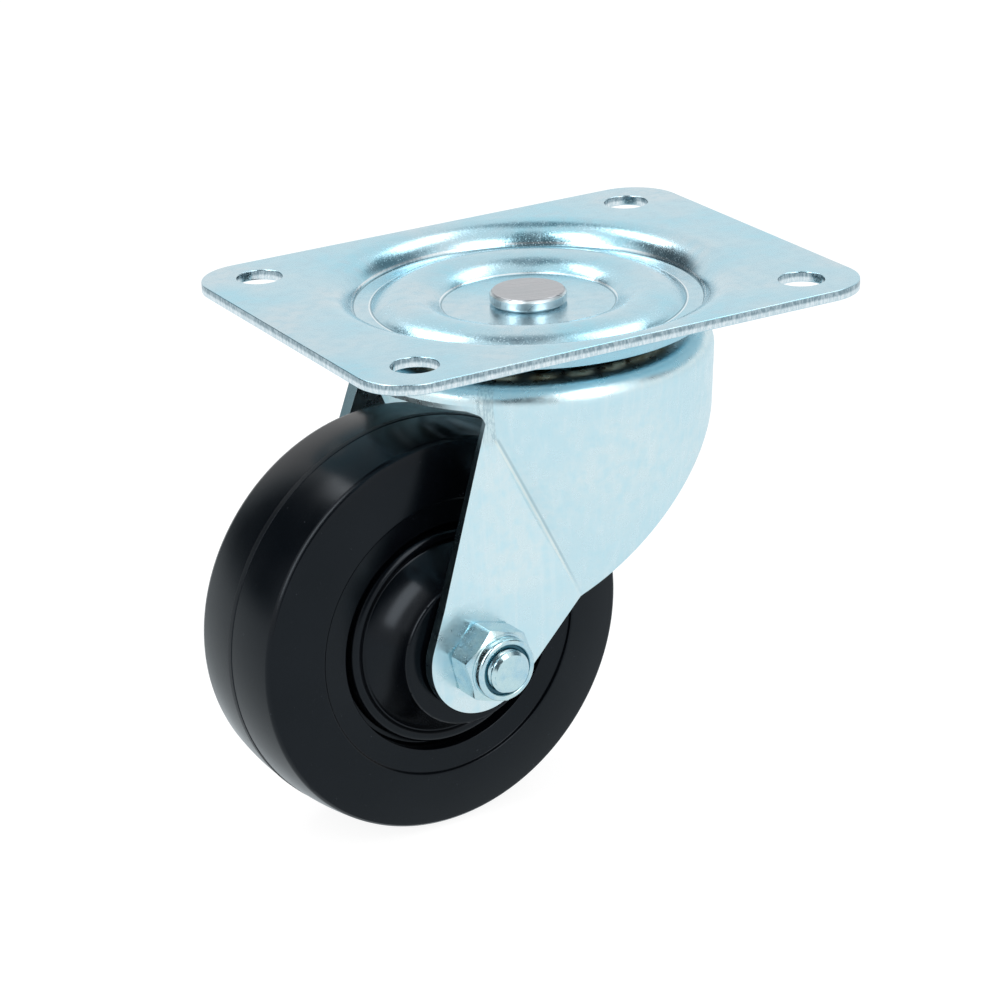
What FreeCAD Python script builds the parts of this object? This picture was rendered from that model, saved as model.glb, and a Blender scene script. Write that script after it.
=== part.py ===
import FreeCAD, Part
import math
import os
import Sketcher

# Swivel caster with a pressed top plate, a pressed fork on two ball races and a moulded wheel.
# The origin is the centre of the top plate's upper face, +Z points up, X runs along the long bolt
# pitch. The fork and all it carries are drawn with the trail along their own X and the axle along
# their own Y, and are then turned about Z by the swivel angle.

V = FreeCAD.Vector

DRIVING_SIZES = [
    ("plate_corner", 9.75, "radius of the plate's corners"),
    ("plate_sheet", 2.0, "thickness of the plate's sheet"),
    ("bolt_pitch_long", 80.0, "bolt holes along X"),
    ("bolt_pitch_short", 60.0, "bolt holes along Y"),
    ("plate_end_margin", 11.0, "from the bolt holes' centres to the plate's ends"),
    ("plate_side_margin", 9.5, "from the bolt holes' centres to the plate's sides"),
    ("bolt_hole", 8.5, "diameter of the bolt holes"),
    ("dish_margin", 1.0, "flat left between the dish and the plate's sides"),
    ("dish_rounding", 6.3, "width of the rounding from the flat down to the dish's ring"),
    ("dish_ring", 3.2, "width of the flat ring between rounding and ridge"),
    ("dish_depth", 4.15, "depth of the ring between rounding and ridge"),
    ("ridge_half_width", 6.2, "half width of the ring-shaped ridge over the balls"),
    ("ridge_height", 2.3, "height of the ridge over the ring"),
    ("centre_depth", 4.65, "depth of the flat centre disc"),
    ("upper_ball", 6.35, "diameter of an upper ball"),
    ("ball_play", 0.08, "running play on each side of a ball"),
    ("ball_spacing", 0.1, "least gap from one ball to the next"),
    ("fork_sheet", 2.15, "thickness of the fork's sheet"),
    ("crown_shoulder", 7.0, "from the crown's ball groove to its outer radius"),
    ("crown_bend", 1.0, "inner radius of the bend from crown to skirt"),
    ("crown_lip", 3.4, "from the crown's hole to its ball groove"),
    ("groove_half_width", 4.2, "half width of the ball groove in the crown"),
    ("groove_depth", 1.25, "depth of the ball groove in the crown"),
    ("lower_ball_inset", 1.8, "from the crown's hole out to the lower balls' pitch circle"),
    ("lower_ball", 4.76, "diameter of a lower ball"),
    ("cup_sheet", 2.0, "thickness of the lower race's sheet"),
    ("cup_bend", 3.0, "outer radius of the lower race's upper bend"),
    ("cup_lip_ratio", 0.45, "drop of the lower race's lip, as a share of its groove radius"),
    ("pin_shank", 10.0, "diameter of the kingpin's shank"),
    ("pin_head", 13.8, "diameter of the kingpin's head"),
    ("pin_head_height", 2.5, "height of the kingpin's head"),
    ("pin_head_edge", 0.5, "chamfer round the kingpin's head"),
    ("pin_foot_gap", 2.5, "from the kingpin's riveted foot to the lower race's wall"),
    ("pin_foot_height", 2.6, "height of the kingpin's riveted foot"),
    ("rivet_play", 0.05, "radial play of the kingpin in plate and race"),
    ("swivel_angle", 183.7, "heading of the trail about Z, in degrees"),
    ("trail", 28.2, "axle behind the swivel axis"),
    ("wheel_headroom", 20.6, "top of the wheel below the plate's upper face"),
    ("skirt_depth", 44.0, "height of the skirt's cone below the crown's bend"),
    ("skirt_taper", 7.5, "how much the skirt's cone narrows down to its foot"),
    ("skirt_foot_shift", 6.6, "how far the cone's foot lies behind the swivel axis"),
    ("leg_half", 23.9, "outer half width over the parallel ears"),
    ("leg_splay", 2.0, "how far each leg spreads from the crown down to its ear"),
    ("window_drop", 4.96, "front opening's upper edge below the crown's top"),
    ("window_corner", 1.55, "radius of the front opening's upper corners"),
    ("leg_lean_angle", 19.4, "lean of the legs' front edge from upright, in degrees"),
    ("heel_reach", 6.0, "rear kink of the leg, ahead of the swivel axis"),
    ("heel_rise", 6.5, "rear kink of the leg above the axle"),
    ("rear_skirt", 5.92, "height of the skirt at its back, below the crown's bend"),
    ("ear_radius", 10.9, "radius of the ears round the axle"),
    ("axle_bore", 8.3, "diameter of the axle holes in the ears"),
    ("wheel_radius", 39.0, "radius in the middle of the tread"),
    ("tread_crown", 1.2, "how much the tread falls from its middle to its shoulders"),
    ("tread_half", 12.1, "half width at the shoulders"),
    ("shoulder_round", 1.1, "rounding of the shoulders"),
    ("side_half", 13.45, "half width where the side face ends"),
    ("side_inner", 26.8, "radius where the side face ends"),
    ("side_bulge", 60.0, "radius of the side face's bulge"),
    ("band_step", 0.6, "step from the side face down to the band"),
    ("slot_outer", 22.05, "outer radius of the round slot"),
    ("slot_inner", 20.65, "inner radius of the round slot"),
    ("slot_depth", 3.4, "depth of the round slot below the band"),
    ("bead_inner", 18.4, "inner radius of the bead beside the slot"),
    ("bead_round", 1.2, "radius of the bead's top"),
    ("bead_rise", 0.15, "rise of the bead's top over the band"),
    ("bead_flank", 0.6, "where the bead's flanks start, below the band"),
    ("hub_hollow", 16.0, "radius of the hub's hollow flank"),
    ("boss_radius", 14.3, "radius of the boss face"),
    ("hub_clearance", 0.95, "gap between the hub's end and the ear"),
    ("boss_edge", 0.6, "rounding of the boss face's edge"),
    ("liner_wall", 2.0, "wall of the hub liner"),
    ("sleeve_diameter", 12.0, "outer diameter of the axle sleeve"),
    ("liner_play", 0.06, "radial play between liner and sleeve"),
    ("sleeve_play", 0.1, "radial play between sleeve and bolt"),
    ("bolt_diameter", 8.0, "diameter of the axle bolt"),
    ("head_across", 13.0, "bolt head and nut across flats"),
    ("head_height", 5.3, "height of the bolt head"),
    ("bolt_end", 9.5, "length of the bolt beyond the ear"),
    ("bolt_chamfer", 0.6, "chamfer at the bolt's end"),
    ("corner_chamfer_angle", 30.0, "slope of the chamfers on the hexagons' corners, in degrees"),
    ("nut_height", 8.0, "whole height of the nut"),
    ("nut_turn", 17.0, "turn of the nut's hexagon about the axle, in degrees"),
    ("nut_hex_height", 6.0, "height of the nut's hexagon"),
    ("collar_diameter", 11.8, "outer diameter of the nut's collar"),
    ("collar_wall", 1.15, "wall of the nut's collar"),
    ("insert_height", 2.2, "height of the nylon ring"),
    ("thread_play", 0.04, "radial play on the bolt's thread"),
]

doc = FreeCAD.newDocument("SwivelCaster")
sheet = doc.addObject("Spreadsheet::Sheet", "Sizes")


class Size:
    """A length, angle or count: its value, and the formula that gives it from the sheet."""

    def __init__(self, value, formula):
        self.value = value
        self.formula = formula

    def __add__(self, other):
        return join(self, "+", other, self.value + number(other))

    def __radd__(self, other):
        return join(other, "+", self, number(other) + self.value)

    def __sub__(self, other):
        return join(self, "-", other, self.value - number(other))

    def __rsub__(self, other):
        return join(other, "-", self, number(other) - self.value)

    def __mul__(self, other):
        return join(self, "*", other, self.value * number(other))

    def __rmul__(self, other):
        return join(other, "*", self, number(other) * self.value)

    def __truediv__(self, other):
        return join(self, "/", other, self.value / number(other))

    def __rtruediv__(self, other):
        return join(other, "/", self, number(other) / self.value)

    def __neg__(self):
        return Size(-self.value, "(-1 * %s)" % self.formula)


def number(item):
    return item.value if isinstance(item, Size) else float(item)


def formula_of(item):
    return item.formula if isinstance(item, Size) else repr(float(item))


def join(first, sign, second, value):
    return Size(value, "(%s %s %s)" % (formula_of(first), sign, formula_of(second)))


def root(item):
    return Size(math.sqrt(item.value), "sqrt(%s)" % item.formula)


def sine(item):
    return Size(math.sin(math.radians(item.value)), "sin(%s)" % item.formula)


def cosine(item):
    return Size(math.cos(math.radians(item.value)), "cos(%s)" % item.formula)


def leg_of(slant, side):
    """The second short side of a right triangle."""
    return root(slant * slant - side * side)


def read_sizes():
    """Fills the sheet and gives each driving size as a Size."""
    sizes = {}
    for row, (name, value, note) in enumerate(DRIVING_SIZES, start=1):
        sheet.set("A%d" % row, name)
        sheet.set("B%d" % row, str(value))
        sheet.set("C%d" % row, note)
        sheet.setAlias("B%d" % row, name)
        sizes[name] = Size(float(value), "Sizes.%s" % name)
    doc.recompute()
    return sizes


S = read_sizes()


# Sketching and placing

def bind(owner, path, item):
    """Ties a property to the sheet; a bare zero is left as it is."""
    if isinstance(item, Size):
        owner.setExpression(path, item.formula)


def new_body(name):
    body = doc.addObject("PartDesign::Body", name)
    body.Label = name
    return body


def new_sketch(body, name, role, lift=None):
    """A sketch on one of the body's origin planes, lifted along the plane's normal."""
    sketch = body.newObject("Sketcher::SketchObject", name)
    plane = [item for item in body.Origin.OriginFeatures if item.Role == role][0]
    sketch.AttachmentSupport = [(plane, "")]
    sketch.MapMode = "FlatFace"
    if lift is not None:
        sketch.AttachmentOffset = FreeCAD.Placement(V(0, 0, number(lift)), FreeCAD.Rotation())
        bind(sketch, "AttachmentOffset.Base.z", lift)
    return sketch


def constrain(sketch, item, *terms):
    index = sketch.addConstraint(Sketcher.Constraint(*terms, number(item)))
    bind(sketch, "Constraints[%d]" % index, item)


def pin_point(sketch, geometry, which, x, y):
    """Holds a point of a geometry at x, y from the origin."""
    constrain(sketch, x, "DistanceX", -1, 1, geometry, which)
    constrain(sketch, y, "DistanceY", -1, 1, geometry, which)


def arc_between(start, end, radius):
    """Short arc from start to end, to the left of the way for a positive radius."""
    chord = end - start
    half = chord.Length / 2
    reach = math.sqrt(max(radius * radius - half * half, 0.0))
    left = V(-chord.y, chord.x, 0).normalize()
    side = 1 if radius > 0 else -1
    centre = (start + end) / 2 + left * (reach * side)
    first, last = (start, end) if radius > 0 else (end, start)
    begin = math.atan2(first.y - centre.y, first.x - centre.x)
    finish = math.atan2(last.y - centre.y, last.x - centre.x)
    circle = Part.Circle(centre, V(0, 0, 1), abs(radius))
    return Part.ArcOfCircle(circle, begin, finish)


def outline(sketch, corners):
    """A closed outline. A corner is x, y and the radius of the arc to the next corner, or 0."""
    points = [V(number(x), number(y), 0) for x, y, _ in corners]
    ends = []
    for index, (_, _, radius) in enumerate(corners):
        start = points[index]
        end = points[(index + 1) % len(points)]
        if number(radius) == 0:
            geometry = sketch.addGeometry(Part.LineSegment(start, end))
            ends.append((geometry, 1, 2))
        else:
            geometry = sketch.addGeometry(arc_between(start, end, number(radius)))
            ends.append((geometry, 1, 2) if number(radius) > 0 else (geometry, 2, 1))
    for index, (geometry, first, last) in enumerate(ends):
        follower, its_first, _ = ends[(index + 1) % len(ends)]
        sketch.addConstraint(Sketcher.Constraint("Coincident", geometry, last, follower, its_first))
    for (x, y, radius), (geometry, first, _) in zip(corners, ends):
        pin_point(sketch, geometry, first, x, y)
        if number(radius) != 0:
            size = radius if number(radius) > 0 else -radius
            constrain(sketch, size, "Radius", geometry)


def circle(sketch, x, y, radius):
    geometry = sketch.addGeometry(Part.Circle(V(number(x), number(y), 0), V(0, 0, 1), number(radius)))
    pin_point(sketch, geometry, 3, x, y)
    constrain(sketch, radius, "Radius", geometry)


def revolve(body, name, corners, role="XZ_Plane"):
    """Turns a closed half section about the upright axis of its sketch."""
    sketch = new_sketch(body, name + "_section", role)
    outline(sketch, corners)
    turned = body.newObject("PartDesign::Revolution", name)
    turned.Profile = sketch
    turned.ReferenceAxis = (sketch, ["V_Axis"])
    turned.Angle = 360
    return turned


def groove(body, name, corners, role="XZ_Plane"):
    """Turns away a closed half section about the upright axis of its sketch."""
    sketch = new_sketch(body, name + "_section", role)
    outline(sketch, corners)
    turned = body.newObject("PartDesign::Groove", name)
    turned.Profile = sketch
    turned.ReferenceAxis = (sketch, ["V_Axis"])
    turned.Angle = 360
    return turned


def pad(body, name, sketch, length, downward=False):
    raised = body.newObject("PartDesign::Pad", name)
    raised.Profile = sketch
    raised.Length = number(length)
    raised.Reversed = downward
    bind(raised, "Length", length)
    return raised


def cut_through(body, name, sketch):
    """Cuts a sketch right through, both ways."""
    cut = body.newObject("PartDesign::Pocket", name)
    cut.Profile = sketch
    cut.Type = "ThroughAll"
    cut.Midplane = True
    return cut


def hexagon(sketch, across, turn):
    """Regular hexagon about the origin, one corner turned from the sketch's X axis by an angle."""
    corner = across / math.sqrt(3)
    corners = []
    for step in range(6):
        angle = turn + 60 * step
        corners.append((corner * cosine(angle), corner * sine(angle), 0))
    outline(sketch, corners)


def carry(body, forward, side, height):
    """Places a piece in the fork's frame, which is turned about Z by the swivel angle."""
    turn = S["swivel_angle"]
    x = forward * cosine(turn) - side * sine(turn)
    y = forward * sine(turn) + side * cosine(turn)
    body.Placement = FreeCAD.Placement(
        V(number(x), number(y), number(height)), FreeCAD.Rotation(V(0, 0, 1), turn.value))
    bind(body, "Placement.Base.x", x)
    bind(body, "Placement.Base.y", y)
    bind(body, "Placement.Base.z", height)
    bind(body, "Placement.Rotation.Angle", turn)


# Levels and radii that several pieces share

ZERO = Size(0.0, "0")
plate_half_length = S["bolt_pitch_long"] / 2 + S["plate_end_margin"]
plate_half_width = S["bolt_pitch_short"] / 2 + S["plate_side_margin"]
dish_rim = plate_half_width - S["dish_margin"]
dish_foot = dish_rim - S["dish_rounding"]
race_radius = dish_foot - S["dish_ring"] - S["ridge_half_width"]
crown_radius = race_radius + S["groove_half_width"] + S["crown_shoulder"]
crown_hole = race_radius - S["groove_half_width"] - S["crown_lip"]
lower_radius = crown_hole + S["lower_ball_inset"]
axle_drop = S["wheel_radius"] + S["wheel_headroom"]
disc_under = -(S["centre_depth"] + S["plate_sheet"])
ridge_top = S["ridge_height"] - S["dish_depth"]
upper_ball_level = ridge_top - S["plate_sheet"] - S["ball_play"] - S["upper_ball"] / 2
groove_floor = upper_ball_level - S["upper_ball"] / 2 - S["ball_play"]
crown_top = groove_floor + S["groove_depth"]
crown_under = crown_top - S["fork_sheet"]
bend_outer = S["crown_bend"] + S["fork_sheet"]
skirt_top = crown_top - bend_outer
window_top = crown_top - S["window_drop"]
lower_ball_level = crown_under - S["ball_play"] - S["lower_ball"] / 2
cup_groove = S["lower_ball"] / 2 + S["ball_play"]
cup_wall = lower_radius - cup_groove
pin_hole = S["pin_shank"] / 2 + S["rivet_play"]
ear_inner = S["leg_half"] - S["fork_sheet"]
boss_half = ear_inner - S["hub_clearance"]
liner_radius = S["sleeve_diameter"] / 2 + S["liner_play"] + S["liner_wall"]


# Top plate: flat sheet, rounded down into a dish, a ring-shaped ridge over the balls, a flat centre

def plate_corners():
    half_length = plate_half_length
    half_width = plate_half_width
    corner = S["plate_corner"]
    near_x = half_length - corner
    near_y = half_width - corner
    return [
        (-near_x, -half_width, 0), (near_x, -half_width, corner),
        (half_length, -near_y, 0), (half_length, near_y, corner),
        (near_x, half_width, 0), (-near_x, half_width, corner),
        (-half_length, near_y, 0), (-half_length, -near_y, corner),
    ]


def arc_radius(half_chord, rise):
    """Radius of an arc from half its chord and its rise."""
    return (half_chord * half_chord + rise * rise) / (2 * rise)


def dish_section():
    sheet_wall = S["plate_sheet"]
    rim = dish_rim
    floor = -S["dish_depth"]
    foot = dish_foot
    rounding = arc_radius(rim - foot, S["dish_depth"])
    under_rounding = rounding - sheet_wall
    under_foot = rim - leg_of(under_rounding, rounding - S["dish_depth"] - sheet_wall)
    crown = arc_radius(S["ridge_half_width"], S["ridge_height"])
    under_crown = crown - sheet_wall
    crown_centre = ridge_top - crown
    outer = race_radius + S["ridge_half_width"]
    inner = race_radius - leg_of(crown, -S["centre_depth"] - crown_centre)
    under_outer = race_radius + leg_of(under_crown, floor - sheet_wall - crown_centre)
    under_inner = race_radius - leg_of(under_crown, disc_under - crown_centre)
    return [
        (pin_hole, -S["centre_depth"], 0),
        (pin_hole, disc_under, 0),
        (under_inner, disc_under, -under_crown),
        (under_outer, floor - sheet_wall, 0),
        (under_foot, floor - sheet_wall, -under_rounding),
        (rim, -sheet_wall, 0),
        (rim, ZERO, rounding),
        (foot, floor, 0),
        (outer, floor, crown),
        (inner, -S["centre_depth"], 0),
    ]


def make_top_plate():
    body = new_body("top_plate")
    sketch = new_sketch(body, "plate_outline", "XY_Plane")
    outline(sketch, plate_corners())
    circle(sketch, 0, 0, dish_rim)
    for side_x in (-1, 1):
        for side_y in (-1, 1):
            x = S["bolt_pitch_long"] / 2 * side_x
            y = S["bolt_pitch_short"] / 2 * side_y
            circle(sketch, x, y, S["bolt_hole"] / 2)
    pad(body, "plate_flat", sketch, S["plate_sheet"], downward=True)
    revolve(body, "plate_dish", dish_section())


# Kingpin: one rivet through the plate's centre and the lower race

def make_kingpin():
    body = new_body("kingpin")
    seat = -S["centre_depth"]
    head = S["pin_head"] / 2
    head_top = seat + S["pin_head_height"]
    edge = S["pin_head_edge"]
    shank = S["pin_shank"] / 2
    foot_top = disc_under - S["cup_sheet"]
    foot = cup_wall - S["cup_sheet"] - S["pin_foot_gap"]
    foot_low = foot_top - S["pin_foot_height"]
    revolve(body, "pin", [
        (0, head_top, 0),
        (0, foot_low, 0),
        (shank, foot_low, foot),
        (foot, foot_top, 0),
        (shank, foot_top, 0),
        (shank, seat, 0),
        (head, seat, 0),
        (head, head_top - edge, 0),
        (head - edge, head_top, 0),
    ])


# Lower race: a cup held under the plate by the kingpin, with a groove for the lower balls

def make_lower_race():
    body = new_body("lower_race")
    sheet_wall = S["cup_sheet"]
    bend = S["cup_bend"]
    wall = cup_wall
    centre = lower_radius
    rise = S["cup_lip_ratio"]
    spread = root(1 - rise * rise)
    outer_groove = cup_groove + sheet_wall
    revolve(body, "cup", [
        (pin_hole, disc_under, 0),
        (pin_hole, disc_under - sheet_wall, 0),
        (wall - bend, disc_under - sheet_wall, -(bend - sheet_wall)),
        (wall - sheet_wall, disc_under - bend, 0),
        (wall - sheet_wall, lower_ball_level, outer_groove),
        (centre, lower_ball_level - outer_groove, outer_groove),
        (centre + outer_groove * spread, lower_ball_level - outer_groove * rise, 0),
        (centre + cup_groove * spread, lower_ball_level - cup_groove * rise, -cup_groove),
        (centre, lower_ball_level - cup_groove, -cup_groove),
        (wall, lower_ball_level, 0),
        (wall, disc_under - bend, bend),
        (wall - bend, disc_under, 0),
    ])


# Balls: separate spheres on their pitch circle

def make_balls(name, diameter, pitch_radius, level):
    """As many balls as the pitch circle holds, evenly spread."""
    around = 2 * math.pi * pitch_radius.value
    count = int(around / (diameter + S["ball_spacing"]).value)
    balls = []
    for step in range(count):
        ball = doc.addObject("Part::Sphere", "%s_%d" % (name, step + 1))
        bind(ball, "Radius", diameter / 2)
        angle = 2 * math.pi * step / count
        bind(ball, "Placement.Base.x", pitch_radius * math.cos(angle))
        bind(ball, "Placement.Base.y", pitch_radius * math.sin(angle))
        bind(ball, "Placement.Base.z", level)
        balls.append(ball)
    group = doc.addObject("Part::Compound", name)
    group.Label = name
    group.Links = balls


# Fork: one pressing. A leaning cone forms the skirt, two splayed legs cut it along the diagonal
# creases and turn parallel at the ears, and the crown carries the ball groove.

def skirt_loft(body, name, kind, inset):
    """A leaning cone from the crown's bend down to the foot circle."""
    top = new_sketch(body, name + "_top", "XY_Plane", skirt_top)
    circle(top, 0, 0, crown_radius - inset)
    foot = new_sketch(body, name + "_foot", "XY_Plane", skirt_top - S["skirt_depth"])
    circle(foot, -S["skirt_foot_shift"], 0, crown_radius - S["skirt_taper"] - inset)
    loft = body.newObject(kind, name)
    loft.Profile = top
    loft.Sections = [foot]
    loft.Ruled = True
    return loft


def leg_section(inset):
    """Section across both legs: splayed down to the ears, then parallel."""
    low = -(axle_drop + 2 * S["ear_radius"])
    ear_level = -(axle_drop - S["ear_radius"])
    top = S["leg_half"] - S["leg_splay"] - inset
    ear = S["leg_half"] - inset
    return [
        (-top, window_top, 0), (-ear, ear_level, 0), (-ear, low, 0),
        (ear, low, 0), (ear, ear_level, 0), (top, window_top, 0),
    ]


def side_outline():
    """Side view of skirt and legs, from the rear edge round the ear to the front opening."""
    reach = crown_radius + S["ear_radius"]
    above = S["wheel_headroom"]
    ear = S["ear_radius"]
    heel_x = S["heel_reach"]
    heel_z = S["heel_rise"] - axle_drop
    rear_slope = (skirt_top - S["rear_skirt"] - heel_z) / (crown_radius + heel_x)
    rear_z = heel_z + (heel_x + reach) * rear_slope
    # Tangent from the heel to the ear's circle
    run = S["trail"] - heel_x
    fall = S["heel_rise"]
    square = run * run + fall * fall
    slant = root(square - ear * ear)
    tangent_x = S["trail"] - ear * (ear * run + slant * fall) / square
    tangent_z = -axle_drop - ear * (slant * run - ear * fall) / square
    # Front edge, tangent to the ear's circle and leaning back
    front_x = S["trail"] + ear * cosine(S["leg_lean_angle"])
    front_z = ear * sine(S["leg_lean_angle"]) - axle_drop
    lean = sine(S["leg_lean_angle"]) / cosine(S["leg_lean_angle"])
    corner = S["window_corner"]
    corner_x = front_x - (window_top - front_z) * lean
    # The corner's rounding starts this far from the sharp corner, along both edges
    trim = corner * (1 + sine(S["leg_lean_angle"])) / cosine(S["leg_lean_angle"])
    round_x = corner_x + trim * sine(S["leg_lean_angle"])
    round_z = window_top - trim * cosine(S["leg_lean_angle"])
    return [
        (-reach, above, 0),
        (-reach, rear_z, 0),
        (heel_x, heel_z, 0),
        (tangent_x, tangent_z, ear),
        (front_x, front_z, 0),
        (round_x, round_z, -corner),
        (corner_x + trim, window_top, 0),
        (reach, window_top, 0),
        (reach, above, 0),
    ]


def crown_section():
    sheet_wall = S["fork_sheet"]
    outer = crown_radius
    half = S["groove_half_width"]
    radius = arc_radius(half, S["groove_depth"])
    under = radius + sheet_wall
    under_half = leg_of(under, under - S["groove_depth"])
    race = race_radius
    return [
        (crown_hole, crown_top, 0),
        (crown_hole, crown_under, 0),
        (race - under_half, crown_under, under),
        (race + under_half, crown_under, 0),
        (outer - bend_outer, crown_under, -S["crown_bend"]),
        (outer - sheet_wall, skirt_top, 0),
        (outer, skirt_top, bend_outer),
        (outer - bend_outer, crown_top, 0),
        (race + half, crown_top, -radius),
        (race - half, crown_top, 0),
    ]


def make_fork():
    body = new_body("fork")
    reach = S["trail"] + 2 * S["ear_radius"]
    skirt_loft(body, "skirt", "PartDesign::AdditiveLoft", ZERO)
    legs = new_sketch(body, "legs_outline", "YZ_Plane")
    outline(legs, leg_section(ZERO))
    pad(body, "legs", legs, reach)
    skirt_loft(body, "skirt_inside", "PartDesign::SubtractiveLoft", S["fork_sheet"])
    between = new_sketch(body, "between_outline", "YZ_Plane")
    outline(between, leg_section(S["fork_sheet"]))
    inside = body.newObject("PartDesign::Pocket", "between_legs")
    inside.Profile = between
    inside.Length = number(reach)
    inside.Reversed = True
    bind(inside, "Length", reach)
    trim = new_sketch(body, "side_trim", "XZ_Plane")
    outline(trim, side_outline())
    frame_x = crown_radius + S["trail"] + 2 * S["ear_radius"]
    frame_low = -(2 * axle_drop)
    frame_top = axle_drop
    outline(trim, [
        (-frame_x, frame_low, 0), (frame_x, frame_low, 0),
        (frame_x, frame_top, 0), (-frame_x, frame_top, 0),
    ])
    cut_through(body, "side_cut", trim)
    revolve(body, "crown", crown_section())
    holes = new_sketch(body, "axle_holes", "XZ_Plane")
    circle(holes, S["trail"], -axle_drop, S["axle_bore"] / 2)
    cut_through(body, "axle_bores", holes)
    carry(body, ZERO, ZERO, ZERO)


# Wheel: one moulding, turned about the axle, with its own origin at the wheel's centre

def wheel_half():
    """Half section from the middle of the tread to the bore; x is the radius, y along the axle."""
    shoulder = S["wheel_radius"] - S["tread_crown"]
    tread = arc_radius(S["tread_half"], S["tread_crown"])
    band = S["side_half"] - S["band_step"]
    bead_middle = (S["slot_inner"] + S["bead_inner"]) / 2
    edge = S["boss_edge"]
    return [
        (shoulder, S["tread_half"] - S["shoulder_round"], S["shoulder_round"]),
        (shoulder - S["shoulder_round"], S["tread_half"], S["side_bulge"]),
        (S["side_inner"], S["side_half"], 0),
        (S["side_inner"] - S["band_step"] / 2, band, 0),
        (S["slot_outer"], band, 0),
        (S["slot_outer"], band - S["slot_depth"], 0),
        (S["slot_inner"], band - S["slot_depth"], 0),
        (S["slot_inner"], band - S["bead_flank"], S["bead_round"]),
        (bead_middle, band + S["bead_rise"], S["bead_round"]),
        (S["bead_inner"], band - S["bead_flank"], -S["hub_hollow"]),
        (S["boss_radius"], boss_half - edge, edge),
        (S["boss_radius"] - edge, boss_half, 0),
    ], tread


def make_wheel():
    body = new_body("wheel")
    half, tread = wheel_half()
    mirrored = []
    for index in range(len(half) - 1, -1, -1):
        x, y, _ = half[index]
        bend = half[index - 1][2] if index > 0 else 0
        mirrored.append((x, -y, bend))
    bore = [
        (liner_radius, boss_half, 0),
        (liner_radius, -boss_half, 0),
    ]
    last_x, last_y, _ = mirrored[-1]
    mirrored[-1] = (last_x, last_y, tread)
    revolve(body, "moulding", half + bore + mirrored, "XY_Plane")
    carry(body, S["trail"], ZERO, -axle_drop)


# Axle: bolt, nut with its nylon ring, sleeve between the ears and liner in the hub

def tube_section(inner, outer, half_length):
    return [
        (inner, -half_length, 0), (outer, -half_length, 0),
        (outer, half_length, 0), (inner, half_length, 0),
    ]


def make_hub_liner():
    body = new_body("hub_liner")
    inner = S["sleeve_diameter"] / 2 + S["liner_play"]
    revolve(body, "liner", tube_section(inner, liner_radius, boss_half), "XY_Plane")
    carry(body, S["trail"], ZERO, -axle_drop)


def make_axle_sleeve():
    body = new_body("axle_sleeve")
    inner = S["bolt_diameter"] / 2 + S["sleeve_play"]
    revolve(body, "sleeve", tube_section(inner, S["sleeve_diameter"] / 2, ear_inner), "XY_Plane")
    carry(body, S["trail"], ZERO, -axle_drop)


def chamfer_cutter(across, face, depth, toward):
    """Half section that turns the corners off a hexagon's end face."""
    flat = across / 2
    corner = across / math.sqrt(3) + depth
    slope = sine(S["corner_chamfer_angle"]) / cosine(S["corner_chamfer_angle"])
    return [
        (flat, face, 0),
        (corner, face - (corner - flat) * slope * toward, 0),
        (corner, face + depth * toward, 0),
        (flat, face + depth * toward, 0),
    ]


def make_axle_bolt():
    body = new_body("axle_bolt")
    seat = -S["leg_half"]
    radius = S["bolt_diameter"] / 2
    end = S["leg_half"] + S["bolt_end"]
    outer_face = seat - S["head_height"]
    sketch = new_sketch(body, "head_outline", "XZ_Plane", -seat)
    hexagon(sketch, S["head_across"], ZERO)
    pad(body, "head", sketch, S["head_height"])
    groove(body, "head_corners", chamfer_cutter(S["head_across"], outer_face, S["bolt_chamfer"], -1),
           "XY_Plane")
    revolve(body, "shank", [
        (0, seat, 0),
        (radius, seat, 0),
        (radius, end - S["bolt_chamfer"], 0),
        (radius - S["bolt_chamfer"], end, 0),
        (0, end, 0),
    ], "XY_Plane")
    carry(body, S["trail"], ZERO, -axle_drop)


def make_axle_nut():
    body = new_body("axle_nut")
    seat = S["leg_half"]
    hex_end = seat + S["nut_hex_height"]
    end = seat + S["nut_height"]
    bore = S["bolt_diameter"] / 2 + S["thread_play"]
    collar = S["collar_diameter"] / 2
    pocket = collar - S["collar_wall"]
    pocket_floor = end - S["insert_height"] - S["collar_wall"] / 2
    countersink = S["bolt_chamfer"] / 2
    sketch = new_sketch(body, "nut_outline", "XZ_Plane", -seat)
    hexagon(sketch, S["head_across"], S["nut_turn"])
    pad(body, "nut_hex", sketch, S["nut_hex_height"], downward=True)
    groove(body, "outer_corners", chamfer_cutter(S["head_across"], hex_end, S["bolt_chamfer"], 1),
           "XY_Plane")
    groove(body, "seat_corners", chamfer_cutter(S["head_across"], seat, S["bolt_chamfer"], -1),
           "XY_Plane")
    round_off = S["collar_wall"]
    revolve(body, "collar", [
        (0, hex_end - S["nut_hex_height"] / 2, 0),
        (collar, hex_end - S["nut_hex_height"] / 2, 0),
        (collar, end - round_off, round_off),
        (pocket, end, 0),
        (0, end, 0),
    ], "XY_Plane")
    groove(body, "thread_bore", [
        (0, seat - countersink, 0),
        (bore + 2 * countersink, seat - countersink, 0),
        (bore, seat + countersink, 0),
        (bore, pocket_floor, 0),
        (pocket, pocket_floor, 0),
        (pocket, end + S["collar_wall"], 0),
        (0, end + S["collar_wall"], 0),
    ], "XY_Plane")
    carry(body, S["trail"], ZERO, -axle_drop)


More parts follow.
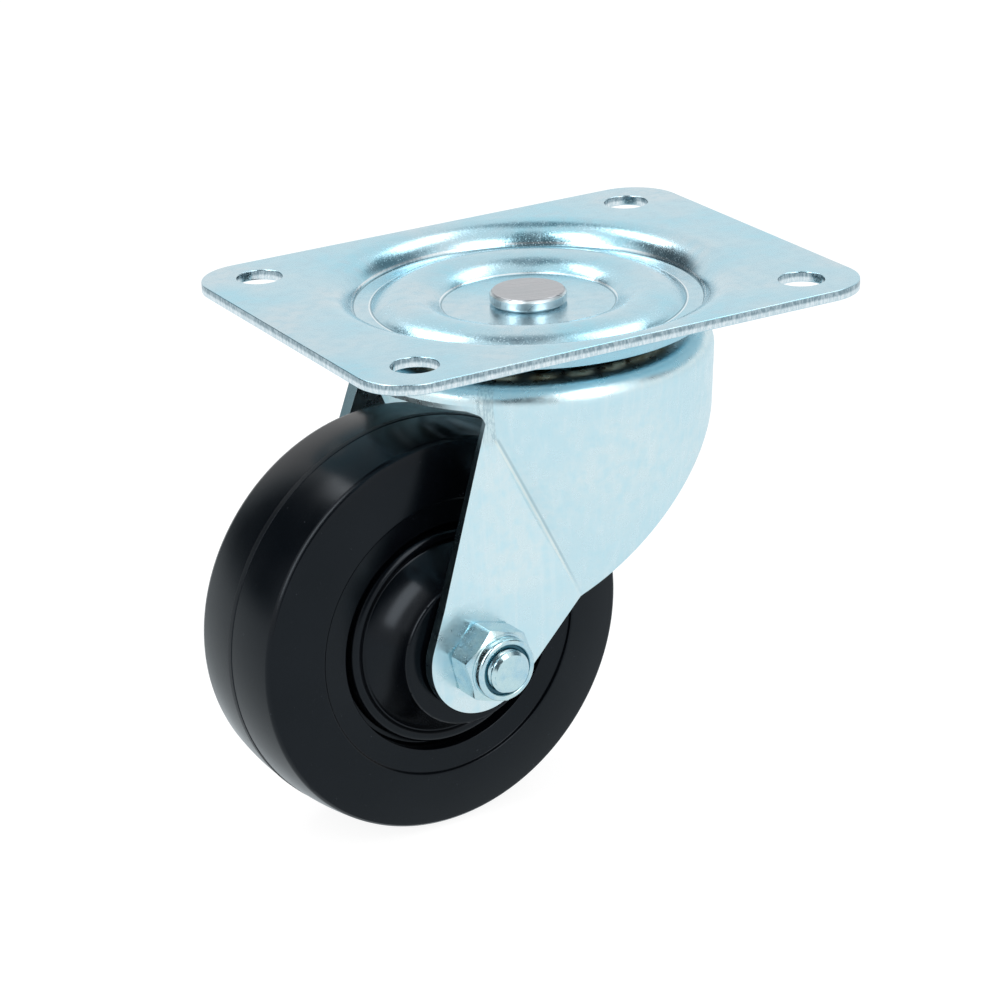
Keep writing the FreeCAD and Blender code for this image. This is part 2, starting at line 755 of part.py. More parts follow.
def make_nylon_insert():
    body = new_body("nylon_insert")
    end = S["leg_half"] + S["nut_height"] - S["collar_wall"] / 2
    bore = S["bolt_diameter"] / 2 + S["thread_play"]
    outer = S["collar_diameter"] / 2 - S["collar_wall"]
    floor = end - S["insert_height"]
    revolve(body, "ring", [
        (bore, floor, 0), (outer, floor, 0), (outer, end, 0), (bore, end, 0),
    ], "XY_Plane")
    carry(body, S["trail"], ZERO, -axle_drop)


def main():
    make_top_plate()
    make_kingpin()
    make_lower_race()
    make_balls("upper_balls", S["upper_ball"], race_radius, upper_ball_level)
    make_balls("lower_balls", S["lower_ball"], lower_radius, lower_ball_level)
    make_fork()
    make_wheel()
    make_hub_liner()
    make_axle_sleeve()
    make_axle_bolt()
    make_axle_nut()
    make_nylon_insert()
    doc.recompute()


NODES = [
    "top_plate", "kingpin", "lower_race", "upper_balls", "lower_balls", "fork", "wheel",
    "hub_liner", "axle_sleeve", "axle_bolt", "axle_nut", "nylon_insert",
]


def check_document():
    """Stops on a failed feature or a bad shape."""
    for item in doc.Objects:
        if "Invalid" in item.State or "Error" in item.State:
            raise RuntimeError("%s failed: %s" % (item.Name, item.State))
    for name in NODES:
        shape = doc.getObject(name).Shape
        if shape.isNull() or not shape.isValid():
            raise RuntimeError("%s has a bad shape" % name)


def export_parts():
    os.makedirs("parts", exist_ok=True)
    for name in NODES:
        doc.getObject(name).Shape.exportStep("parts/%s.step" % name)


main()
check_document()
export_parts()
for node in NODES:
    part_shape = doc.getObject(node).Shape
    print("%s: %d solid(s), %.1f mm3" % (node, len(part_shape.Solids), part_shape.Volume))
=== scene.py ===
import bmesh
import bpy
import math
from mathutils import Euler, Matrix, Vector
from mathutils.geometry import delaunay_2d_cdt


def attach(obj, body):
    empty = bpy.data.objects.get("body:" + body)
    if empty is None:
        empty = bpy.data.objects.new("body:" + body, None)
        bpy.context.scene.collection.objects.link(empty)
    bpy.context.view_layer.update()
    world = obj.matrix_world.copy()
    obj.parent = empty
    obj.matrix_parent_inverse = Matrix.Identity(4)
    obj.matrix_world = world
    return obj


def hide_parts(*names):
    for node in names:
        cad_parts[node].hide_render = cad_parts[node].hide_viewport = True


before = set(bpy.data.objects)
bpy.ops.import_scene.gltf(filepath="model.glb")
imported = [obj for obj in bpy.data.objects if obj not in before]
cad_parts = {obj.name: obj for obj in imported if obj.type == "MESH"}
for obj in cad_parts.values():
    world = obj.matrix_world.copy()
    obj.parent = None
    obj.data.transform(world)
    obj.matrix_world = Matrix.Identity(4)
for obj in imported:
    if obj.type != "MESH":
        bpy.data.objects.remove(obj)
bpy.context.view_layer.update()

# Swivel caster: pressed plate and fork in bright zinc, black moulded wheel, bolted axle.
# Sizes are in millimetres, as the caster is drawn; meshes are made in metres.

MM = 0.001

# Points closer than this are one
MERGE = 0.002

# Swivel and axle
SWIVEL_ANGLE = 183.7
TRAIL = 28.2
WHEEL_RADIUS = 39.0
WHEEL_HEADROOM = 20.6
AXLE_DROP = WHEEL_RADIUS + WHEEL_HEADROOM

# Top plate
PLATE_HALF_LENGTH = 51.0
PLATE_HALF_WIDTH = 39.5
PLATE_CORNER = 9.75
PLATE_SHEET = 2.0
BOLT_X = 40.0
BOLT_Y = 30.0
BOLT_HOLE = 4.25
DISH_RIM = 38.5
DISH_FOOT = 32.2
DISH_DEPTH = 4.15
RIDGE_HALF_WIDTH = 6.2
RIDGE_HEIGHT = 2.3
CENTRE_DEPTH = 4.65
RACE_RADIUS = 22.8
PLATE_EDGE_ROUND = 0.22
PLATE_CREASE_ROUND = 0.15

# Balls
UPPER_BALL = 6.35
LOWER_BALL = 4.76
LOWER_RADIUS = 17.0
BALL_PLAY = 0.08
UPPER_COUNT = 22
LOWER_COUNT = 21

# Kingpin and lower race
CUP_SHEET = 2.0
CUP_BEND = 3.0
CUP_LIP = 0.45
CUP_GROOVE = LOWER_BALL / 2 + BALL_PLAY
PIN_BORE = 5.05
PIN_SHANK = 5.0
PIN_HEAD = 7.15
PIN_HEAD_HEIGHT = 2.5
PIN_BEVEL = 0.55
PIN_BEVEL_LOWER = 0.5
PIN_FOOT_GAP = 2.5
PIN_FOOT_HEIGHT = 2.6
PIN_FOOT = LOWER_RADIUS - CUP_GROOVE - CUP_SHEET - PIN_FOOT_GAP

# Wheel: radii from the axle, and half widths from the middle of the tread
WHEEL_TOP = 38.775
MOULD_LINE = 0.55
MOULD_SLOPE = 0.12
MOULD_HEIGHT = 0.1
TREAD_FROM = 30
TREAD_CURVE = 65
SHOULDER_RADIUS = 37.8
SHOULDER_ROUND = 1.1
TREAD_HALF = 12.1
SIDE_CURVE = 60
SIDE_INNER = 26.8
SIDE_HALF = 13.45
BAND_OUTER = 26.5
BAND_HALF = 12.85
SLOT_OUTER = 22.05
SLOT_INNER = 20.65
SLOT_HALF = 9.45
BEAD_INNER = 18.4
BEAD_HALF = 13.0
BEAD_FOOT_HALF = 12.25
BEAD_ROUND = 1.2
HUB_HOLLOW = 16
HUB_HALF = 20.8
BOSS_RADIUS = 14.3
BOSS_EDGE = 0.6
LINER_INNER = 6.06
LINER_OUTER = 8.06
SLEEVE_INNER = 4.1
SLEEVE_OUTER = 6.0
SLEEVE_HALF = 21.75

# Bolt and nut
HEX_STEPS = 120
HEX_FLAT = 6.5
HEX_CHAMFER_CIRCLE = 6.25
HEX_SLOPE = math.tan(math.radians(30))
HEX_CORNER = 2 * HEX_FLAT / math.sqrt(3) * 0.988
HEAD_HEIGHT = 5.3
NUT_HEX_HEIGHT = 6.0
NUT_HEIGHT = 8.0
NUT_TURN = math.radians(17)
COLLAR_RADIUS = 5.9
COLLAR_WALL = 1.15
INSERT_HEIGHT = 2.2
THREAD_BORE = 4.04
BOLT_RADIUS = 4.0
BOLT_CHAMFER = 0.6
BOLT_END = 33.4
THREAD_PITCH = 1.25
THREAD_DEPTH = 0.45
THREAD_LENGTH_INSIDE = 3.9
THREAD_STEEPNESS = 2.6

# Fork
FORK_SHEET = 2.15
FLAT_GAP = 0.03
CROWN_RADIUS = 34.0
CROWN_BEND = 3.9
CROWN_HOLE = 15.2
GROOVE_HALF_WIDTH = 4.2
GROOVE_DEPTH = 1.25
SKIRT_DEPTH = 44.0
SKIRT_TAPER = 7.5
SKIRT_SHIFT = 6.6
LEG_TOP_HALF = 21.9
LEG_HALF = 23.9
WINDOW_DROP = 4.96
CORNER_WIDTH = 2.6
LEG_LEAN = math.radians(19.4)
HEEL_REACH = 6.0
HEEL_RISE = 6.5
REAR_SKIRT = 5.17
EAR_RADIUS = 10.9
AXLE_BORE = 4.15
FORK_EDGE_ROUND = 0.25
FORK_CREASE_ROUND = 0.35
SHEET_SHARP_ANGLE = 24.0

# Levels that follow from the sizes
RIDGE_TOP = RIDGE_HEIGHT - DISH_DEPTH
UPPER_BALL_LEVEL = RIDGE_TOP - PLATE_SHEET - BALL_PLAY - UPPER_BALL / 2
CROWN_TOP = UPPER_BALL_LEVEL - UPPER_BALL / 2 - BALL_PLAY + GROOVE_DEPTH
LOWER_BALL_LEVEL = CROWN_TOP - FORK_SHEET - BALL_PLAY - LOWER_BALL / 2
SKIRT_TOP = CROWN_TOP - CROWN_BEND
WINDOW_TOP = CROWN_TOP - WINDOW_DROP
EAR_LEVEL = EAR_RADIUS - AXLE_DROP
HEEL_Z = HEEL_RISE - AXLE_DROP
REAR_SLOPE = (SKIRT_TOP - REAR_SKIRT - HEEL_Z) / (CROWN_RADIUS + HEEL_REACH)
NUT_END = LEG_HALF + NUT_HEIGHT
INSERT_END = NUT_END - COLLAR_WALL / 2
INSERT_START = INSERT_END - INSERT_HEIGHT
FLOOR_DROP = AXLE_DROP + WHEEL_TOP

# Points in a full turn of a lathed piece
TURN = 256


# Places

SWIVEL = Matrix.Rotation(math.radians(SWIVEL_ANGLE), 4, "Z")
AXLE = SWIVEL @ Matrix.Translation(Vector((TRAIL, 0, -AXLE_DROP)))


def plate_place(x, y, z):
    return Vector((x, y, z)) * MM


def fork_place(x, y, z):
    return (SWIVEL @ Vector((x, y, z))) * MM


def axle_place(x, y, z):
    """x and z across the axle, y along it."""
    return (AXLE @ Vector((x, y, z))) * MM


# Profiles

def arc_points(start, end, radius, steps):
    """Points of the arc after start up to end; its centre is left of the way for a positive radius."""
    sx, sy = start
    ex, ey = end
    chord = Vector((ex - sx, ey - sy))
    half = chord.length / 2
    reach = math.sqrt(max(radius * radius - half * half, 0.0))
    left = Vector((-chord.y, chord.x)).normalized()
    side = 1 if radius > 0 else -1
    centre = Vector(((sx + ex) / 2, (sy + ey) / 2)) + left * reach * side
    first = math.atan2(sy - centre.y, sx - centre.x)
    last = math.atan2(ey - centre.y, ex - centre.x)
    sweep = (last - first) % (2 * math.pi)
    if side < 0:
        sweep -= 2 * math.pi
    if abs(abs(sweep) - 2 * math.pi) < 1e-9:
        sweep = 0.0
    points = []
    for step in range(1, steps + 1):
        angle = first + sweep * step / steps
        points.append((centre.x + abs(radius) * math.cos(angle),
                       centre.y + abs(radius) * math.sin(angle)))
    points[-1] = end
    return points


def arc_radius(half_chord, rise):
    """Radius of the arc that rises this much over its chord."""
    return (half_chord ** 2 + rise ** 2) / (2 * rise)


def rounded(points, steps):
    """Rounds the corners of an open line: each point is x, y and its rounding radius."""
    result = []
    for index, (x, y, radius) in enumerate(points):
        if radius == 0 or index in (0, len(points) - 1):
            result.append((x, y))
            continue
        here = Vector((x, y))
        before = (Vector(points[index - 1][:2]) - here).normalized()
        after = (Vector(points[index + 1][:2]) - here).normalized()
        half = before.angle(after) / 2
        trim = radius / math.tan(half)
        start = here + before * trim
        end = here + after * trim
        turn = before.x * after.y - before.y * after.x
        bend = -radius if turn > 0 else radius
        result.append(tuple(start))
        result.extend(arc_points(tuple(start), tuple(end), bend, steps))
    return result


# Meshes

def link(thing):
    bpy.context.scene.collection.objects.link(thing)


def merge(mesh_data):
    bmesh.ops.remove_doubles(mesh_data, verts=mesh_data.verts, dist=MERGE * MM)
    bmesh.ops.recalc_face_normals(mesh_data, faces=mesh_data.faces)


def finish_mesh(mesh_data, name, sharp_angle=30.0):
    """Turns a bmesh into a smooth-shaded object with sharp edges where it bends."""
    merge(mesh_data)
    mesh = bpy.data.meshes.new(name)
    mesh_data.to_mesh(mesh)
    mesh_data.free()
    mesh.shade_smooth()
    mesh.set_sharp_from_angle(angle=math.radians(sharp_angle))
    piece = bpy.data.objects.new(name, mesh)
    link(piece)
    return piece


def join_rings(mesh_data, rings, closed):
    """Adds the faces between rings of as many points each; a ring may be one point repeated."""
    pairs = list(zip(rings, rings[1:]))
    if closed:
        pairs.append((rings[-1], rings[0]))
    for low, high in pairs:
        for step in range(len(low)):
            after = (step + 1) % len(low)
            corners = []
            for corner in (low[step], low[after], high[after], high[step]):
                if corner not in corners:
                    corners.append(corner)
            if len(corners) > 2:
                mesh_data.faces.new(corners)


def add_lathe(mesh_data, profile, place, upright, angles, closed):
    """Turns a profile of radius and height about the place's Z, or about its Y if not upright."""
    rings = []
    for radius, height in profile:
        if radius < 1e-6:
            centre = (0, 0, height) if upright else (0, height, 0)
            point = mesh_data.verts.new(place(*centre))
            rings.append([point] * len(angles))
            continue
        ring = []
        for angle in angles:
            across = radius * math.cos(angle)
            along = radius * math.sin(angle)
            spot = (across, along, height) if upright else (across, height, along)
            ring.append(mesh_data.verts.new(place(*spot)))
        rings.append(ring)
    join_rings(mesh_data, rings, closed)


def even_angles(count=TURN):
    return [2 * math.pi * step / count for step in range(count)]


def lathe(name, profile, place, upright, closed=True, count=TURN):
    mesh_data = bmesh.new()
    add_lathe(mesh_data, profile, place, upright, even_angles(count), closed)
    return finish_mesh(mesh_data, name)


def within(point, loop):
    """True if a drawn point lies inside a closed loop."""
    crossings = 0
    for (ax, ay), (bx, by) in zip(loop, loop[1:] + loop[:1]):
        if (ay > point.y) != (by > point.y):
            if point.x < ax + (bx - ax) * (point.y - ay) / (by - ay):
                crossings += 1
    return crossings % 2 == 1


def add_flat(mesh_data, outer, holes, lift):
    """Fills a flat outline with holes; lift turns a drawn point into its place."""
    points = []
    edges = []
    for loop in [outer] + holes:
        first = len(points)
        points.extend(Vector(point) for point in loop)
        edges.extend((first + i, first + (i + 1) % len(loop)) for i in range(len(loop)))
    verts, _, faces, _, _, _ = delaunay_2d_cdt(points, edges, [], 1, 1e-6)
    made = [mesh_data.verts.new(lift(point.x, point.y)) for point in verts]
    for face in faces:
        middle = sum((verts[i] for i in face), Vector((0, 0))) / len(face)
        if not any(within(middle, hole) for hole in holes):
            mesh_data.faces.new([made[i] for i in face])


def thicken(mesh_data, thickness, edge_width, crease_width):
    """Gives a shell its sheet thickness, then rounds its cut edges and its creases."""
    merge(mesh_data)
    shell = bpy.data.meshes.new("shell")
    mesh_data.to_mesh(shell)
    mesh_data.free()
    piece = bpy.data.objects.new("shell", shell)
    link(piece)
    solid = piece.modifiers.new("sheet", "SOLIDIFY")
    solid.thickness = thickness * MM
    solid.offset = -1.0
    solid.use_even_offset = True
    solid.use_quality_normals = True
    depsgraph = bpy.context.evaluated_depsgraph_get()
    thick = bpy.data.meshes.new_from_object(piece.evaluated_get(depsgraph))
    bpy.data.objects.remove(piece)
    bpy.data.meshes.remove(shell)
    result = bmesh.new()
    result.from_mesh(thick)
    bpy.data.meshes.remove(thick)
    for low, high, width in ((60, 120, edge_width), (14, 60, crease_width)):
        chosen = []
        for edge in result.edges:
            if not edge.is_manifold:
                continue
            angle = math.degrees(edge.calc_face_angle(0.0))
            if low <= angle < high:
                chosen.append(edge)
        if chosen:
            bmesh.ops.bevel(result, geom=chosen, offset=width * MM, segments=3, profile=0.5,
                            affect="EDGES", clamp_overlap=True)
    return result


def face_up(mesh_data):
    """Makes the normals agree, with the highest face's normal upward."""
    bmesh.ops.recalc_face_normals(mesh_data, faces=mesh_data.faces)
    top = max(mesh_data.faces, key=lambda face: face.calc_center_median().z)
    if top.normal.z < 0:
        bmesh.ops.reverse_faces(mesh_data, faces=mesh_data.faces)


def use(piece, body, material, slot, *nodes):
    """Gives a piece its material and its body, and hides the CAD nodes that it stands for; the slot is
    not used.
    """
    piece.data.materials.clear()
    piece.data.materials.append(material)
    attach(piece, body)
    if nodes:
        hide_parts(*nodes)
    return piece


# Top plate

def rounded_rectangle(half_x, half_y, radius, steps=16):
    points = []
    for quarter, (sign_x, sign_y) in enumerate([(1, 1), (-1, 1), (-1, -1), (1, -1)]):
        centre_x = sign_x * (half_x - radius)
        centre_y = sign_y * (half_y - radius)
        for step in range(steps + 1):
            angle = math.pi / 2 * (quarter + step / steps)
            points.append((centre_x + radius * math.cos(angle),
                           centre_y + radius * math.sin(angle)))
    return points


def ring_points(centre_x, centre_y, radius, angles):
    return [(centre_x + radius * math.cos(a), centre_y + radius * math.sin(a)) for a in angles]


# The ridge over the balls is an arc in section, between the centre disc and the dish's ring
RIDGE_CURVE = arc_radius(RIDGE_HALF_WIDTH, RIDGE_HEIGHT)
DISC_RADIUS = RACE_RADIUS - math.sqrt(
    RIDGE_CURVE ** 2 - (-CENTRE_DEPTH - (RIDGE_TOP - RIDGE_CURVE)) ** 2)
RIDGE_OUTER = RACE_RADIUS + RIDGE_HALF_WIDTH


def dish_profile():
    rounding = arc_radius(DISH_RIM - DISH_FOOT, DISH_DEPTH)
    disc_edge = (DISC_RADIUS, -CENTRE_DEPTH)
    points = [(PIN_BORE, -CENTRE_DEPTH), (10.0, -CENTRE_DEPTH), disc_edge]
    points += arc_points(disc_edge, (RIDGE_OUTER, -DISH_DEPTH), -RIDGE_CURVE, 28)
    points += [(DISH_FOOT, -DISH_DEPTH)]
    points += arc_points((DISH_FOOT, -DISH_DEPTH), (DISH_RIM, 0.0), -rounding, 18)
    return points


def make_top_plate(material):
    mesh_data = bmesh.new()
    angles = even_angles()
    add_lathe(mesh_data, dish_profile(), plate_place, True, angles, False)
    outer = rounded_rectangle(PLATE_HALF_LENGTH, PLATE_HALF_WIDTH, PLATE_CORNER)
    holes = [ring_points(0, 0, DISH_RIM, angles)]
    for sign_x in (-1, 1):
        for sign_y in (-1, 1):
            holes.append(ring_points(sign_x * BOLT_X, sign_y * BOLT_Y, BOLT_HOLE, even_angles(64)))
    add_flat(mesh_data, outer, holes, lambda x, y: plate_place(x, y, 0))
    merge(mesh_data)
    face_up(mesh_data)
    mesh_data = thicken(mesh_data, PLATE_SHEET, PLATE_EDGE_ROUND, PLATE_CREASE_ROUND)
    piece = finish_mesh(mesh_data, "top_plate_sheet", SHEET_SHARP_ANGLE)
    return use(piece, "plate", material, "zinc_plate", "top_plate")


# Fork shell: crown, skirt rulings and flat legs share their border points

def leg_half_at(z):
    """Outer half width over the legs at a level."""
    fall = (WINDOW_TOP - z) / (WINDOW_TOP - EAR_LEVEL)
    return LEG_TOP_HALF + (LEG_HALF - LEG_TOP_HALF) * min(fall, 1.0)


def ruling(angle, share):
    """A point of the skirt's leaning cone, from its top circle to its foot circle."""
    radius = CROWN_RADIUS - SKIRT_TAPER * share
    return (radius * math.cos(angle) - SKIRT_SHIFT * share, radius * math.sin(angle),
            SKIRT_TOP - SKIRT_DEPTH * share)


def ear_tangent():
    """Where the line from the heel touches the ear's circle from below."""
    run = TRAIL - HEEL_REACH
    square = run ** 2 + HEEL_RISE ** 2
    slant = math.sqrt(square - EAR_RADIUS ** 2)
    x = TRAIL - EAR_RADIUS * (EAR_RADIUS * run + slant * HEEL_RISE) / square
    z = -AXLE_DROP - EAR_RADIUS * (slant * run - EAR_RADIUS * HEEL_RISE) / square
    return x, z


TANGENT_X, TANGENT_Z = ear_tangent()
FRONT_X = TRAIL + EAR_RADIUS * math.cos(LEG_LEAN)
FRONT_Z = EAR_RADIUS * math.sin(LEG_LEAN) - AXLE_DROP


def front_edge(z):
    """The legs' leaning front edge in the side view."""
    return FRONT_X - (z - FRONT_Z) * math.tan(LEG_LEAN)


def low_edge(x):
    """Lowest level of the sheet at x in the side view, behind the legs' front edge."""
    rear = HEEL_Z + (HEEL_REACH - x) * REAR_SLOPE
    lower = HEEL_Z + (x - HEEL_REACH) * (TANGENT_Z - HEEL_Z) / (TANGENT_X - HEEL_REACH)
    return min(rear, lower)


def first_share(test):
    """Smallest share of a ruling where test turns from negative to positive."""
    low, high = 0.0, 1.0
    if test(high) < 0:
        return 1.0
    steps = 200
    for step in range(1, steps + 1):
        if test(step / steps) >= 0:
            low, high = (step - 1) / steps, step / steps
            break
    for _ in range(40):
        middle = (low + high) / 2
        if test(middle) >= 0:
            high = middle
        else:
            low = middle
    return high


def crease_gap(angle, share):
    """Positive once the ruling has passed inside the leg's plane."""
    _, y, z = ruling(angle, share)
    return leg_half_at(z) - y


def low_gap(angle, share):
    x, _, z = ruling(angle, share)
    return low_edge(x) - z


def bisect(test, low, high):
    sign = test(low) < 0
    for _ in range(60):
        middle = (low + high) / 2
        if (test(middle) < 0) == sign:
            low = middle
        else:
            high = middle
    return (low + high) / 2


def crease_at(angle):
    return first_share(lambda share: crease_gap(angle, share))


def level_share(z):
    return (SKIRT_TOP - z) / SKIRT_DEPTH


def crease_place(z):
    """Where the skirt's cone meets the leg's plane at a level: x, and the ruling's angle."""
    share = level_share(z)
    radius = CROWN_RADIUS - SKIRT_TAPER * share
    angle = math.asin(leg_half_at(z) / radius)
    return radius * math.cos(angle) - SKIRT_SHIFT * share, angle


def rear_edge_at(angle):
    return first_share(lambda share: low_gap(angle, share))


def crease_end():
    """Angle of the ruling where the crease meets the rear edge."""
    return bisect(lambda angle: crease_at(angle) - rear_edge_at(angle), 0.7, 1.5)


def crease_break():
    """Angle of the ruling where the crease passes the level of the parallel ears."""
    return bisect(lambda angle: ruling(angle, crease_at(angle))[2] - EAR_LEVEL, 0.7, 1.4)


# The crease starts at the root of the leg's front edge; the front opening's corner is rounded there
ROOT_Z = bisect(lambda z: crease_place(z)[0] - front_edge(z), WINDOW_TOP - 10, WINDOW_TOP)
ROOT_X, START = crease_place(ROOT_Z)
END = crease_end()
CREASE_FOOT_X, _, CREASE_FOOT_Z = ruling(END, crease_at(END))
BREAK = crease_break()
CORNER_START = START - CORNER_WIDTH / CROWN_RADIUS


def heel_angle():
    """Angle of the ruling that ends at the rear kink of the leg."""
    return bisect(lambda angle: ruling(angle, rear_edge_at(angle))[0] - HEEL_REACH,
                  END - 0.2, END + 0.4)


HEEL = heel_angle()


def spread(first, last, count):
    return [first + (last - first) * step / count for step in range(count)]


def half_angles():
    """Angles from the front to the back, with the border's own corners among them."""
    angles = spread(0.0, CORNER_START, 36)
    angles += [CORNER_START + (START - CORNER_START) * math.sin(math.pi / 2 * step / 12)
               for step in range(12)]
    angles += spread(START, BREAK, 40) + spread(BREAK, END, 6)
    tail = END
    if HEEL > END + 1e-4:
        angles += spread(END, HEEL, 2)
        tail = HEEL
    return angles + spread(tail, math.pi, 84) + [math.pi]


def end_share(angle):
    """How far down its ruling the sheet reaches."""
    if angle <= CORNER_START:
        return level_share(WINDOW_TOP)
    if angle <= START + 1e-9:
        turned = min((angle - CORNER_START) / (START - CORNER_START), 1.0)
        return level_share(ROOT_Z + (WINDOW_TOP - ROOT_Z) * math.sqrt(1 - turned ** 2))
    if angle <= END + 1e-9:
        return crease_at(angle)
    return rear_edge_at(angle)


def crown_profile():
    groove = arc_radius(GROOVE_HALF_WIDTH, GROOVE_DEPTH)
    inner = (RACE_RADIUS - GROOVE_HALF_WIDTH, CROWN_TOP)
    outer = (RACE_RADIUS + GROOVE_HALF_WIDTH, CROWN_TOP)
    points = [(CROWN_HOLE, CROWN_TOP), inner]
    points += arc_points(inner, outer, groove, 16)
    shoulder = (CROWN_RADIUS - CROWN_BEND, CROWN_TOP)
    points += [shoulder]
    points += arc_points(shoulder, (CROWN_RADIUS, SKIRT_TOP), -CROWN_BEND, 10)
    return points


def add_skirt(mesh_data, half, side):
    """One half of the skirt, by rulings from the crown's bend down to the sheet's lower border."""
    rows = 24
    columns = []
    for angle in half:
        last = end_share(angle)
        column = []
        for row in range(rows + 1):
            x, y, z = ruling(angle, last * row / rows)
            column.append((x, y * side, z))
        columns.append(column)
    made = [[mesh_data.verts.new(fork_place(*point)) for point in column] for column in columns]
    for left, right in zip(made, made[1:]):
        for row in range(rows):
            mesh_data.faces.new([left[row], left[row + 1], right[row + 1], right[row]])
    return columns


def flatten_legs(piece):
    """Shades the legs' flat faces flat, so that the long thin faces don't show as a fan."""
    back = SWIVEL.inverted()
    for polygon in piece.data.polygons:
        corners = [back @ (piece.data.vertices[index].co / MM) for index in polygon.vertices]
        gaps = [abs(corner.y) - leg_half_at(corner.z) for corner in corners]
        for offset in (0, FORK_SHEET):
            if max(abs(gap + offset) for gap in gaps) < FLAT_GAP:
                polygon.use_smooth = False


def make_fork(material):
    mesh_data = bmesh.new()
    half = half_angles()
    around = half + [2 * math.pi - angle for angle in reversed(half[1:-1])]
    add_lathe(mesh_data, crown_profile(), fork_place, True, around, False)
    for side in (1, -1):
        columns = add_skirt(mesh_data, half, side)
        add_leg(mesh_data, columns, half, side)
    merge(mesh_data)
    slivers = [face for face in mesh_data.faces if face.calc_area() < 1e-12]
    bmesh.ops.delete(mesh_data, geom=slivers, context="FACES")
    face_up(mesh_data)
    mesh_data = thicken(mesh_data, FORK_SHEET, FORK_EDGE_ROUND, FORK_CREASE_ROUND)
    piece = finish_mesh(mesh_data, "fork_pressing", SHEET_SHARP_ANGLE)
    flatten_legs(piece)
    return use(piece, "fork", material, "zinc_fork", "fork")


def add_leg(mesh_data, columns, half, side):
    """One leg: a splayed upper part and a parallel ear with the axle hole."""
    crease = []
    for angle, column in zip(half, columns):
        if START - 1e-9 <= angle <= END + 1e-9:
            x, _, z = column[-1]
            crease.append((x, z, angle))
    upper_crease = [(x, z) for x, z, angle in crease if angle <= BREAK + 1e-9]
    lower_crease = [(x, z) for x, z, angle in crease if angle >= BREAK - 1e-9]
    break_front = (front_edge(EAR_LEVEL), EAR_LEVEL)
    upper = upper_crease + [break_front]
    below = [(TANGENT_X, TANGENT_Z)]
    first = math.atan2(TANGENT_Z + AXLE_DROP, TANGENT_X - TRAIL)
    steps = 72
    for step in range(1, steps + 1):
        angle = first + (LEG_LEAN - first) * step / steps
        below.append((TRAIL + EAR_RADIUS * math.cos(angle),
                      EAR_RADIUS * math.sin(angle) - AXLE_DROP))
    lower = lower_crease + below + [break_front]

    def lift(x, z):
        return fork_place(x, leg_half_at(z) * side, z)

    bore = ring_points(TRAIL, -AXLE_DROP, AXLE_BORE, even_angles(48))
    add_flat(mesh_data, upper, [], lift)
    add_flat(mesh_data, lower, [bore], lift)


# Turned and forged pieces

def section(corners):
    """A line with rounded corners: x, y, rounding, and radius of the arc to the next corner."""
    spacing = 0.5
    points = []
    for index, (x, y, fillet, bend) in enumerate(corners):
        points.append((x, y, fillet))
        if bend and index + 1 < len(corners):
            after = corners[index + 1][:2]
            steps = max(int(math.dist((x, y), after) / spacing), 3)
            arc = arc_points((x, y), after, bend, steps)
            points.extend((arc_x, arc_y, 0) for arc_x, arc_y in arc[:-1])
    return rounded(points, 4)


def make_kingpin(material):
    seat = -CENTRE_DEPTH
    head_top = seat + PIN_HEAD_HEIGHT
    foot_top = seat - PLATE_SHEET - CUP_SHEET
    foot_end = foot_top - PIN_FOOT_HEIGHT
    profile = section([
        (0, head_top, 0, 0), (PIN_HEAD - PIN_BEVEL, head_top, 0.15, 0),
        (PIN_HEAD, head_top - PIN_BEVEL, 0.35, 0), (PIN_HEAD, seat + PIN_BEVEL_LOWER, 0.4, 0),
        (PIN_HEAD - PIN_BEVEL, seat, 0.15, 0), (PIN_SHANK, seat, 0, 0), (PIN_SHANK, foot_top, 0, 0),
        (PIN_FOOT, foot_top, 0.25, -PIN_FOOT), (PIN_SHANK, foot_end, 0.3, 0), (0, foot_end, 0, 0),
    ])
    piece = lathe("kingpin_rivet", profile, plate_place, True, closed=False, count=128)
    return use(piece, "plate", material, "ground_steel", "kingpin")


def make_lower_race(material):
    wall = LOWER_RADIUS - CUP_GROOVE
    top = -CENTRE_DEPTH - PLATE_SHEET
    outer = CUP_GROOVE + CUP_SHEET

    def lip(radius):
        return (LOWER_RADIUS + radius * math.sqrt(1 - CUP_LIP ** 2),
                LOWER_BALL_LEVEL - radius * CUP_LIP)

    profile = section([
        (PIN_BORE, top, 0, 0), (PIN_BORE, top - CUP_SHEET, 0, 0),
        (wall - CUP_BEND, top - CUP_SHEET, 0, -(CUP_BEND - CUP_SHEET)),
        (wall - CUP_SHEET, top - CUP_BEND, 0, 0), (wall - CUP_SHEET, LOWER_BALL_LEVEL, 0, outer),
        (LOWER_RADIUS, LOWER_BALL_LEVEL - outer, 0, outer), (*lip(outer), 0.25, 0),
        (*lip(CUP_GROOVE), 0.25, -CUP_GROOVE),
        (LOWER_RADIUS, LOWER_BALL_LEVEL - CUP_GROOVE, 0, -CUP_GROOVE), (wall, LOWER_BALL_LEVEL, 0, 0),
        (wall, top - CUP_BEND, 0, CUP_BEND), (wall - CUP_BEND, top, 0, 0),
    ])
    piece = lathe("lower_race_cup", profile, plate_place, True, count=160)
    return use(piece, "plate", material, "zinc_plate", "lower_race")


def make_balls(name, node, body, material, diameter, radius, level, count):
    mesh_data = bmesh.new()
    for step in range(count):
        angle = 2 * math.pi * step / count
        place = plate_place(radius * math.cos(angle), radius * math.sin(angle), level)
        bmesh.ops.create_uvsphere(mesh_data, u_segments=24, v_segments=16, radius=diameter / 2 * MM,
                                  matrix=Matrix.Translation(place))
    piece = finish_mesh(mesh_data, name)
    return use(piece, body, material, "ball_steel", node)


